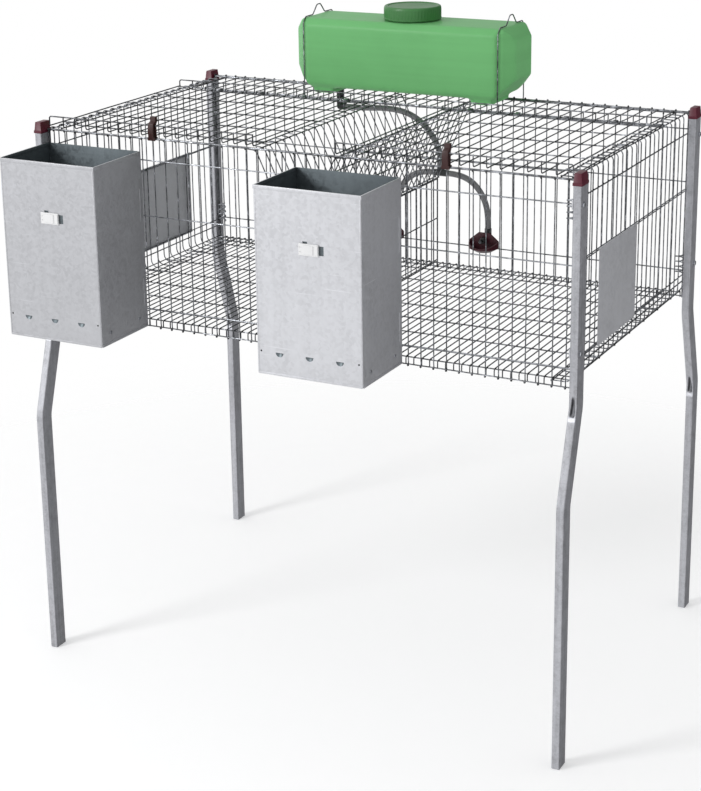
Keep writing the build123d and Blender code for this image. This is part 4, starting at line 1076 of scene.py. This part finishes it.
class CAGE_OT_feeders(bpy.types.Operator):
    """Two hopper feeders: folded shell with hem, dust slots and clip, back sheet, chute and apron."""

    bl_idname = "cage.feeders"
    bl_label = "Feeders"

    half = 100.5
    front = -445.0
    back = -297.0
    low = 669.5
    top = 997.5
    slots = (-57.5, 0.0, 57.5)
    slot_level = 710.5
    slot_radius = 7.5
    pins = (-93.0, 93.0)
    pin_radius = 1.7
    clip_level = 897.5
    clip_shift = 3.0
    clip_end = 21.5
    dimple_radius = 1.6

    def slot_cutter(self, x):
        """Half-round cutter of a dust slot."""
        radius = self.slot_radius

        def place(u, v, w):
            return spot(x + radius * u, self.front + 8 * w, self.slot_level + min(radius * v, 0.0))

        made = shaped("slot", bpy.ops.mesh.primitive_cylinder_add, place, vertices=32, depth=1.0)
        with edit_mode("SELECT"):
            bpy.ops.mesh.remove_doubles(threshold=0.00001)
            bpy.ops.mesh.dissolve_limited(angle_limit=math.radians(1))
            bpy.ops.mesh.normals_make_consistent(inside=False)
        return made

    def pin_cutter(self, x):
        """Round cutter of a pin hole."""
        radius = self.pin_radius

        def place(u, v, w):
            return spot(x + radius * u, self.front - 8 * w, self.slot_level + radius * v)

        return shaped("pin_hole", bpy.ops.mesh.primitive_cylinder_add, place, vertices=12, depth=1.0)

    def shell(self, name, centre, sizes):
        """Folded sheet: front, two sides and bottom, with its holes cut."""
        front, level = self.front, self.clip_level
        piece = boxed(
            name, (centre - self.half, front, self.low), (centre + self.half, self.back, self.top)
        )
        with edit_mode():
            bpy.ops.mesh.select_mode(type="FACE")
            bpy.ops.mesh.select_all(action="DESELECT")
        for face in piece.data.polygons:
            face.select = face.normal.z > 0.9 or face.normal.y > 0.9
        with edit_mode():
            bpy.ops.mesh.delete(type="FACE")
        ease(piece, sizes.fold, 4)
        apply_modifier(piece, "gauge", "SOLIDIFY", thickness=1.0 * MM, offset=-1.0, use_even_offset=True)
        cutters = [self.slot_cutter(centre + step) for step in self.slots]
        cutters += [self.pin_cutter(centre + step) for step in self.pins]
        edge = centre + self.clip_end
        cutters.append(boxed("clip_slot", (edge, front - 4, level - 8), (edge + 9, front + 4, level + 8)))
        key = (centre - 9, front - 4, level + 8)
        cutters.append(boxed("key_slot", key, (centre, front + 4, level + 13.5)))
        for cutter in cutters:
            carve(piece, cutter)
        return piece

    def hem(self, centre, sizes):
        """Sheet folded over along the rim, lap seams down the front corners, foot folds and side tabs."""
        half, front, back, low, top = self.half, self.front, self.back, self.low, self.top
        rim = top - sizes.hem / MM
        strips = (
            (-half - 0.7, front - 0.7, half + 0.7, front + 2.0),
            (-half - 0.7, front + 1.4, -half + 2.0, back - 2),
            (half - 2.0, front + 1.4, half + 0.7, back - 2),
        )
        parts = [boxed("hem", (centre + a, b, rim), (centre + c, d, top + 0.6)) for a, b, c, d in strips]
        for out in (-1, 1):
            inner, outer = sorted((centre + out * (half - 3.6), centre + out * (half - 1.6)))
            parts.append(boxed("lap", (inner, front - 0.45, low + 2), (outer, front + 0.4, rim)))
            inner, outer = sorted((centre + out * (half - 0.5), centre + out * (half + 0.6)))
            parts.append(boxed("foot_fold", (inner, front + 2, low), (outer, back - 1, low + 5)))
            for level, tall in ((900.0, 62.0), (737.0, 52.0)):
                below, above = level - tall / 2, level + tall / 2
                parts.append(boxed("tab", (inner, back - 9, below), (outer, back - 5, above)))
        first, last = centre - half + 2, centre + half - 2
        parts.append(boxed("foot_fold", (first, front - 0.6, low), (last, front + 0.5, low + 4)))
        piece = joined(*parts)
        ease(piece, 0.45 * MM, 2)
        return piece

    def tongues(self, centre):
        """Scoops pressed in below the dust slots' straight edges, and strips behind the clip's slots."""
        reach = self.slot_radius + 0.3
        parts = []
        for step in self.slots:

            def place(u, v, _):
                v = min(v, 0.0)
                inwards = 0.6 + 4.4 * (1 - math.hypot(u, v))
                return spot(centre + step + reach * u, self.front + inwards, self.slot_level + reach * v)

            add = bpy.ops.mesh.primitive_circle_add
            made = shaped("tongue", add, place, vertices=40, fill_type="TRIFAN")
            with edit_mode("SELECT"):
                bpy.ops.mesh.dissolve_degenerate(threshold=0.00005)
                bpy.ops.mesh.normals_make_consistent(inside=False)
            apply_modifier(made, "gauge", "SOLIDIFY", thickness=0.6 * MM, offset=1.0)
            parts.append(made)
        edge, level = centre + self.clip_end, self.clip_level
        near, far = self.front + 1.4, self.front + 2.2
        parts.append(boxed("strip", (edge - 2, near, level - 10), (edge + 11, far, level + 10)))
        parts.append(boxed("strip", (centre - 12, near, level + 6), (centre + 3, far, level + 15.5)))
        return joined(*parts)

    def clip(self, name, centre):
        """Snap clip: a plate with a raised middle, a stepped end and two dimples, on its tongue."""
        across, level, skin = centre + self.clip_shift, self.clip_level, self.front
        blocks = (
            (-18.5, 18.5, 10.25, 3.0, 0.0),
            (-11.0, 9.5, 8.0, 4.5, 1.0),
            (13.0, 18.3, 8.5, 4.2, 1.0),
            (-10.0, 10.0, 4.0, 0.0, -2.0),
        )
        parts = []
        for first, last, half, proud, sunk in blocks:
            low = (across + first, skin - proud, level - half)
            parts.append(boxed(name, low, (across + last, skin - sunk, level + half)))
        piece = joined(*parts)
        ease(piece, 0.8 * MM, 3)
        for lift in (-4.0, 4.0):
            centre_of = spot(across - 14.8, skin - 3.4, level + lift)

            def place(*way):
                return centre_of + Vector(way) * self.dimple_radius * MM

            add = bpy.ops.mesh.primitive_uv_sphere_add
            carve(piece, shaped("dimple", add, place, segments=16, ring_count=10))
        smooth(piece, 35.0)
        return piece

    def line_inside(self, piece, centre):
        """Give the faces that look into the hopper the darker sheet: painted shade."""
        piece.data.materials.append(FINISHES["sheet_inside"])
        low = spot(centre - self.half + 0.7, self.front + 0.7, self.low + 0.7)
        high = spot(centre + self.half - 0.7, self.back, self.top + 1.0)
        for face in piece.data.polygons:
            if all(a < part < b for a, part, b in zip(low, face.center, high)):
                face.material_index = 1

    def face_outside(self, piece):
        """Give the back sheet's cage side the painted-shade sheet, lighter than the painted hopper shade on
        its hopper side.
        """
        piece.data.materials.append(FINISHES["dull_sheet"])
        for face in piece.data.polygons:
            if face.normal.y > 0.5:
                face.material_index = 1

    def execute(self, context):
        sizes = context.scene.cage_sheet
        for side, centre in FEEDER_CENTRES.items():
            body = f"{side}_feeder"
            shell = self.shell(f"{side}_feeder_sheet", centre, sizes)
            trim = self.hem(centre, sizes)
            joined(shell, trim, self.tongues(centre))
            smooth(shell, 30.0)
            # The left feeder gets the darker sheet: painted shade
            finish = "dull_sheet" if side == "left" else SHEET
            settle(shell, body, SHEET, (f"{side}_feeder_shell",), finish)
            self.line_inside(shell, centre)
            # The back sheet and the chute get the darker hopper sheet: painted shade
            back = softened(f"{side}_feeder_back", body, SHEET, 0.3 * MM, 2, finish="sheet_inside")
            self.face_outside(back)
            softened(f"{side}_feeder_chute", body, SHEET, 0.3 * MM, 2, finish="sheet_inside")
            softened(f"{side}_feeder_apron", body, SHEET, 0.3 * MM, 2)
            softened(f"{side}_feeder_rivets", body, "zinc_fastener", 0.6 * MM)
            clip = self.clip(f"{side}_snap_clip", centre)
            settle(clip, body, "white_plastic", (f"{side}_feeder_clip",))
        return {"FINISHED"}


class CAGE_OT_hatches(bpy.types.Operator):
    """Sheet hatch plates on the rails of the side walls."""

    bl_idname = "cage.hatches"
    bl_label = "Hatch plates"

    def execute(self, context):
        for side in SIDES:
            # The hatch plates get the darker sheet: painted shade
            softened(f"{side}_hatch_plate", f"{side}_hatch", SHEET, 0.25 * MM, 2, finish="hatch_sheet")
        return {"FINISHED"}


class CAGE_OT_tank(bpy.types.Operator):
    """Water tank with its rounded ends, hanger grooves, feet, fluted screw cap and hangers."""

    bl_idname = "cage.tank"
    bl_label = "Water tank"

    x = -36.0
    middle = 257.0
    length = 470.0
    depth = 134.0
    low = 1039.6
    top = 1175.6
    plan_cut = 28.0
    low_cut = 38.0
    high_cut = 22.0
    top_cut = 12.0
    sole_cut = 8.0
    rest = 1027.6
    hanger = 208.0
    hanger_diameter = 2.4
    hanger_path = (
        (192, 1019.5), (192, 1167.0), (202.4, 1177.4), (232, 1177.4), (250, 1195.5), (264, 1195.5),
        (282, 1177.4), (311.6, 1177.4), (322, 1167.0), (322, 1019.5), (306, 1019.5),
    )
    foot = 170.0
    foot_half = 22
    neck_radius = 47
    cell = 3.0

    def cut(self, place, normal):
        """Cut the corner off that lies beyond a plane."""
        with edit_mode("SELECT"):
            bpy.ops.mesh.bisect(plane_co=place, plane_no=normal, use_fill=True, clear_outer=True)

    def barrel(self, name, foot, head, radius, vertices=24):
        """Upright round bar between two places, its place in its mesh."""
        middle = (foot + head) / 2
        tall = head.z - foot.z

        def place(u, v, w):
            return middle + Vector((radius * u, radius * v, tall * w))

        return shaped(name, bpy.ops.mesh.primitive_cylinder_add, place, vertices=vertices, depth=1.0)

    def block(self):
        """Block of the tank's length, depth and height."""
        height = self.top - self.low

        def place(u, v, w):
            x, y = self.x + self.length * u, self.middle + self.depth * v
            return spot(x, y, self.low + height * (w + 0.5))

        return shaped("tank_moulding", bpy.ops.mesh.primitive_cube_add, place, size=1.0)

    def body(self, sizes):
        """Tank wall: a block with cut corners, grooves and feet, softened as a moulding, and its neck."""
        piece = self.block()
        edge = self.depth / 2
        for out in (-1, 1):
            end = self.x + out * self.length / 2
            for way in (-1, 1):
                self.cut(spot(end - out * self.plan_cut, self.middle + way * edge, self.low), (out, way, 0))
            self.cut(spot(end - out * self.low_cut, self.middle, self.low), (out, 0, -1))
            self.cut(spot(end - out * self.high_cut, self.middle, self.top), (out, 0, 1))
        for way in (-1, 1):
            self.cut(spot(self.x, self.middle + way * (edge - self.top_cut), self.top), (0, way, 1))
            self.cut(spot(self.x, self.middle + way * (edge - self.sole_cut), self.low), (0, way, -1))
        for out in (-1, 1):
            x, foot_x = self.x + out * self.hanger, self.x + out * self.foot
            for way in (-1, 1):
                line = self.middle + way * (edge - 0.6)
                low, high = spot(x, line, self.low - 20), spot(x, line, self.top + 20)
                carve(piece, self.barrel("groove", low, high, 5.0 * MM))
            low = (foot_x - self.foot_half, 198, self.rest - 4)
            carve(piece, boxed("foot", low, (foot_x + self.foot_half, 288, self.low + 12)), "UNION")
        apply_modifier(piece, "skin", "REMESH", mode="VOXEL", voxel_size=self.cell * MM)
        rounds = round((sizes.rounding / MM / self.cell) ** 2 * 1.6)
        apply_modifier(piece, "mould", "SMOOTH", factor=0.5, iterations=rounds)
        sole = spot(0, 0, self.low).z
        lowest = min(vertex.co.z for vertex in piece.data.vertices)
        for vertex in piece.data.vertices:
            if vertex.co.z < sole:
                vertex.co.z = sole - (sole - vertex.co.z) * (self.low - self.rest) * MM / (sole - lowest)
        low, high = spot(self.x, self.middle, self.top - 8), spot(self.x, self.middle, self.top + 20)
        joined(piece, self.barrel("neck", low, high, self.neck_radius * MM, 64))
        smooth(piece, 35.0)
        return piece

    def lid(self, sizes):
        """Screw cap: fluted skirt, eased rim and a sunk top."""
        count = sizes.flutes * 4
        low, roof = self.top + 2.0, self.top + 28.0
        depth = sizes.flute_depth / MM
        rings = [
            (49.0, low + 3, 0), (55.4, low, 0), (56.5, low + 1.2, 0), (56.5, low + 3.2, 0),
            (55.9, low + 3.8, 0), (56.2, low + 5.0, 1), (56.2, roof - 6.5, 1), (56.0, roof - 4.0, 0),
            (55.0, roof - 1.4, 0), (53.0, roof, 0), (48.5, roof, 0), (47.2, roof - 1.2, 0),
            (4.0, roof - 1.4, 0),
        ]
        piece = ring_stack("tank_screw_cap", count, len(rings))
        for ring, (radius, z, fluted) in enumerate(rings):
            for step in range(count):
                turn = 2 * math.pi * step / count
                reach = radius - fluted * depth * (step % 4 == 0)
                place = spot(self.x + reach * math.cos(turn), self.middle + reach * math.sin(turn), z)
                piece.data.vertices[ring * count + step].co = place
        with edit_mode():
            bpy.ops.mesh.edge_face_add()
            bpy.ops.mesh.select_all(action="SELECT")
            bpy.ops.mesh.normals_make_consistent(inside=False)
        smooth(piece, 32.0)
        return piece

    def execute(self, context):
        sizes = context.scene.cage_tank
        settle(self.body(sizes), "cage", "green_plastic", ("tank_body",))
        settle(self.lid(sizes), "lid", "dark_green_plastic", ("tank_lid",))
        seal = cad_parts["tank_seal"].data
        seal.materials.clear()
        seal.materials.append(FINISHES["black_rubber"])
        runs = []
        for out in (-1, 1):
            x = self.x + out * self.hanger
            hook = spot(x - out * 8, *self.hanger_path[0])
            runs.append(rounded([hook, *(spot(x, y, z) for y, z in self.hanger_path)], 8 * MM, 5))
        wire_piece("tank_hanger_wires", "cage", ("tank_hangers",), (self.hanger_diameter * MM, runs))
        return {"FINISHED"}


class CAGE_OT_water_line(bpy.types.Operator):
    """Outlet elbow, tee, three hoses and the two cup drinkers."""

    bl_idname = "cage.water_line"
    bl_label = "Water line"

    line_back = 309.0
    hose_diameter = 12.0
    feed = (
        (-212, 981), (-170, 981), (-122, 985), (-80, 981), (-50, 968), (-27, 948), (-9, 923),
        (0, 897), (0, 874),
    )
    left = ((-14, 862), (-42, 862), (-74, 845), (-96, 815), (-104.85, 785), (-104.85, 757))
    right = ((14, 862), (42, 862), (75, 847), (96.5, 817), (104.85, 785), (104.85, 757))

    def hose(self, name, points):
        """Smooth hose through its route's points."""
        curve = bpy.data.curves.new(name, "CURVE")
        curve.dimensions = "3D"
        curve.bevel_depth = self.hose_diameter / 2 * MM
        curve.bevel_resolution = 6
        curve.use_fill_caps = True
        spline = curve.splines.new("NURBS")
        spline.points.add(len(points) - 1)
        for point, (x, z) in zip(spline.points, points):
            point.co = (*spot(x, self.line_back, z), 1.0)
        spline.order_u = 3
        spline.use_endpoint_u = True
        spline.resolution_u = 12
        return new_object(name, curve)

    def execute(self, context):
        tee = softened("hose_tee", "cage", "hose_fitting", 0.8 * MM)
        softened("tank_outlet", "cage", "black_plastic", 0.8 * MM)
        routes = (("feed", self.feed, 0.2758), ("left", self.left, 0.1592), ("right", self.right, 0.1606))
        for name, points, length in routes:
            hose = settle(self.hose(f"{name}_hose_line", points), "cage", "hose", (f"{name}_hose",))
            start = spot(points[0][0], self.line_back, points[0][1])
        for side in SIDES:
            softened(f"{side}_drinker_cup", "cage", "drinker_plastic", 0.7 * MM)
            softened(f"{side}_drinker_valve", "cage", "black_plastic", 0.5 * MM, 2)
            pin_body = f"{side}_push_pin"
            # The pin gets the darker wire: painted shade
            softened(f"{side}_drinker_pin", pin_body, "zinc_fastener", 0.4 * MM, 2, finish="dark_wire")
        return {"FINISHED"}


class CAGE_OT_stage(bpy.types.Operator):
    """Pale floor, soft studio light and the camera."""

    bl_idname = "cage.stage"
    bl_label = "Stage"

    sensor = 36.0
    picture_height = 791
    focal_pixels = 1889.3
    shift_pixels = -95
    eye = (1555.3, -3077.6, 1704.0)
    eye_down = 16.582
    eye_turn = 27.516
    eye_roll = -0.822

    def floor(self):
        """Pale round floor that fades out towards its edge."""
        bpy.ops.object.select_all(action="DESELECT")
        below = (0, 0, -0.0005)
        bpy.ops.mesh.primitive_circle_add(vertices=96, radius=3.2, fill_type="NGON", location=below)
        floor = bpy.context.view_layer.objects.active
        floor.name = "studio_floor"
        finish, tree, shader, place = new_finish("studio_floor")
        shader.inputs["Base Color"].default_value = (0.97, 0.97, 0.97, 1.0)
        shader.inputs["Emission Color"].default_value = (1.0, 1.0, 1.0, 1.0)
        shader.inputs["Emission Strength"].default_value = 0.20
        shader.inputs["Roughness"].default_value = 0.9
        shader.inputs["Specular IOR Level"].default_value = 0.1
        way = node(tree, "ShaderNodeVectorMath", {0: place}, operation="LENGTH").outputs["Value"]
        span = {"Value": way, "From Min": 0.75, "From Max": 1.9}
        fade = node(tree, "ShaderNodeMapRange", span, interpolation_type="SMOOTHSTEP").outputs[0]
        clear = node(tree, "ShaderNodeBsdfTransparent").outputs[0]
        both = node(tree, "ShaderNodeMixShader", {0: fade, 1: shader.outputs[0], 2: clear}).outputs[0]
        tree.links.new(both, tree.nodes["Material Output"].inputs["Surface"])
        floor.data.materials.append(finish)
        floor.visible_glossy = False

    def world(self, scene):
        """White to the camera, a soft sky to dull surfaces, a room with a darker side to shiny ones."""
        world = bpy.data.worlds.new("studio")
        scene.world = world
        world.use_nodes = True
        tree = world.node_tree
        way = node(tree, "ShaderNodeTexCoord").outputs["Generated"]
        aim = {0: way, 1: (0.80, 0.60, -0.10)}
        towards = node(tree, "ShaderNodeVectorMath", aim, operation="DOT_PRODUCT").outputs["Value"]
        room = ramp(tree, towards, (-0.05, grey(1.0)), (0.55, grey(0.10)))
        path = node(tree, "ShaderNodeLightPath").outputs
        seen = maths(tree, "MAXIMUM", path["Is Camera Ray"], path["Is Transmission Ray"])
        either = maths(tree, "MAXIMUM", seen, path["Is Glossy Ray"])
        rise = node(tree, "ShaderNodeSeparateXYZ", {0: way}).outputs["Z"]
        sky = ramp(tree, rise, (0.0, (0.90, 0.905, 0.92)), (1.0, grey(0.55)))
        soft = mixed(tree, either, sky, room)
        white = mixed(tree, path["Is Camera Ray"], soft, (1.0, 1.0, 1.0, 1.0))
        tree.links.new(white, tree.nodes["Background"].inputs["Color"])
        tree.nodes["Background"].inputs["Strength"].default_value = 1.0

    def lamp(self, name, place, aim, size, power):
        """Round area lamp turned to a place."""
        data = bpy.data.lights.new(name, "AREA")
        data.shape = "DISK"
        data.size = size
        data.energy = power
        lamp = new_object(name, data)
        lamp.location = place
        lamp.rotation_euler = (Vector(aim) - Vector(place)).to_track_quat("-Z", "Y").to_euler()

    def camera(self, scene):
        """Camera at the photograph's viewing angle."""
        data = bpy.data.cameras.new("photo_view")
        camera = new_object("photo_view", data)
        data.sensor_width = self.sensor
        data.lens = self.focal_pixels / self.picture_height * self.sensor
        data.shift_y = self.shift_pixels / self.picture_height
        camera.location = spot(*self.eye)
        turn = Euler((math.radians(90 - self.eye_down), 0.0, math.radians(self.eye_turn))).to_matrix()
        camera.rotation_euler = (turn @ Matrix.Rotation(math.radians(self.eye_roll), 3, "Z")).to_euler()
        scene.camera = camera

    def execute(self, context):
        scene = context.scene
        scene.view_settings.view_transform = "Standard"
        self.floor()
        self.world(scene)
        self.lamp("key", (-2.4, -3.4, 2.7), (0, -0.1, 0.7), 1.3, 70)
        self.camera(scene)
        return {"FINISHED"}


class CAGE_PT_panel(bpy.types.Panel):
    """Steps and settings of the cage."""

    bl_idname = "CAGE_PT_panel"
    bl_label = "Rabbit cage"
    bl_space_type = "VIEW_3D"
    bl_region_type = "UI"
    bl_category = "Cage"

    def draw(self, context):
        for step in STEPS:
            self.layout.operator(step.bl_idname)
        for key, group in SETTINGS.items():
            column = self.layout.column()
            for setting in group.__annotations__:
                column.prop(getattr(context.scene, key), setting)


SETTINGS = {
    "cage_wire": CageWireSizes,
    "cage_sheet": CageSheetSizes,
    "cage_tank": CageTankSizes,
    "cage_colours": CageColours,
}
STEPS = (
    CAGE_OT_legs, CAGE_OT_front, CAGE_OT_rear, CAGE_OT_floor, CAGE_OT_walls, CAGE_OT_roof, CAGE_OT_rack,
    CAGE_OT_feeders, CAGE_OT_hatches, CAGE_OT_tank, CAGE_OT_water_line, CAGE_OT_stage,
)


def register():
    for group in SETTINGS.values():
        bpy.utils.register_class(group)
    for key, group in SETTINGS.items():
        setattr(bpy.types.Scene, key, PointerProperty(type=group))
    for step in STEPS:
        bpy.utils.register_class(step)
    bpy.utils.register_class(CAGE_PT_panel)


def unregister():
    bpy.utils.unregister_class(CAGE_PT_panel)
    for step in reversed(STEPS):
        bpy.utils.unregister_class(step)
    for key, group in SETTINGS.items():
        delattr(bpy.types.Scene, key)
        bpy.utils.unregister_class(group)


def main():
    register()
    make_finishes(bpy.context.scene.cage_colours)
    bpy.ops.cage.legs()
    bpy.ops.cage.front()
    bpy.ops.cage.rear()
    bpy.ops.cage.floor_mat()
    bpy.ops.cage.walls()
    bpy.ops.cage.roof()
    bpy.ops.cage.rack()
    bpy.ops.cage.feeders()
    bpy.ops.cage.hatches()
    bpy.ops.cage.tank()
    bpy.ops.cage.water_line()
    bpy.ops.cage.stage()


if __name__ == "__main__":
    main()
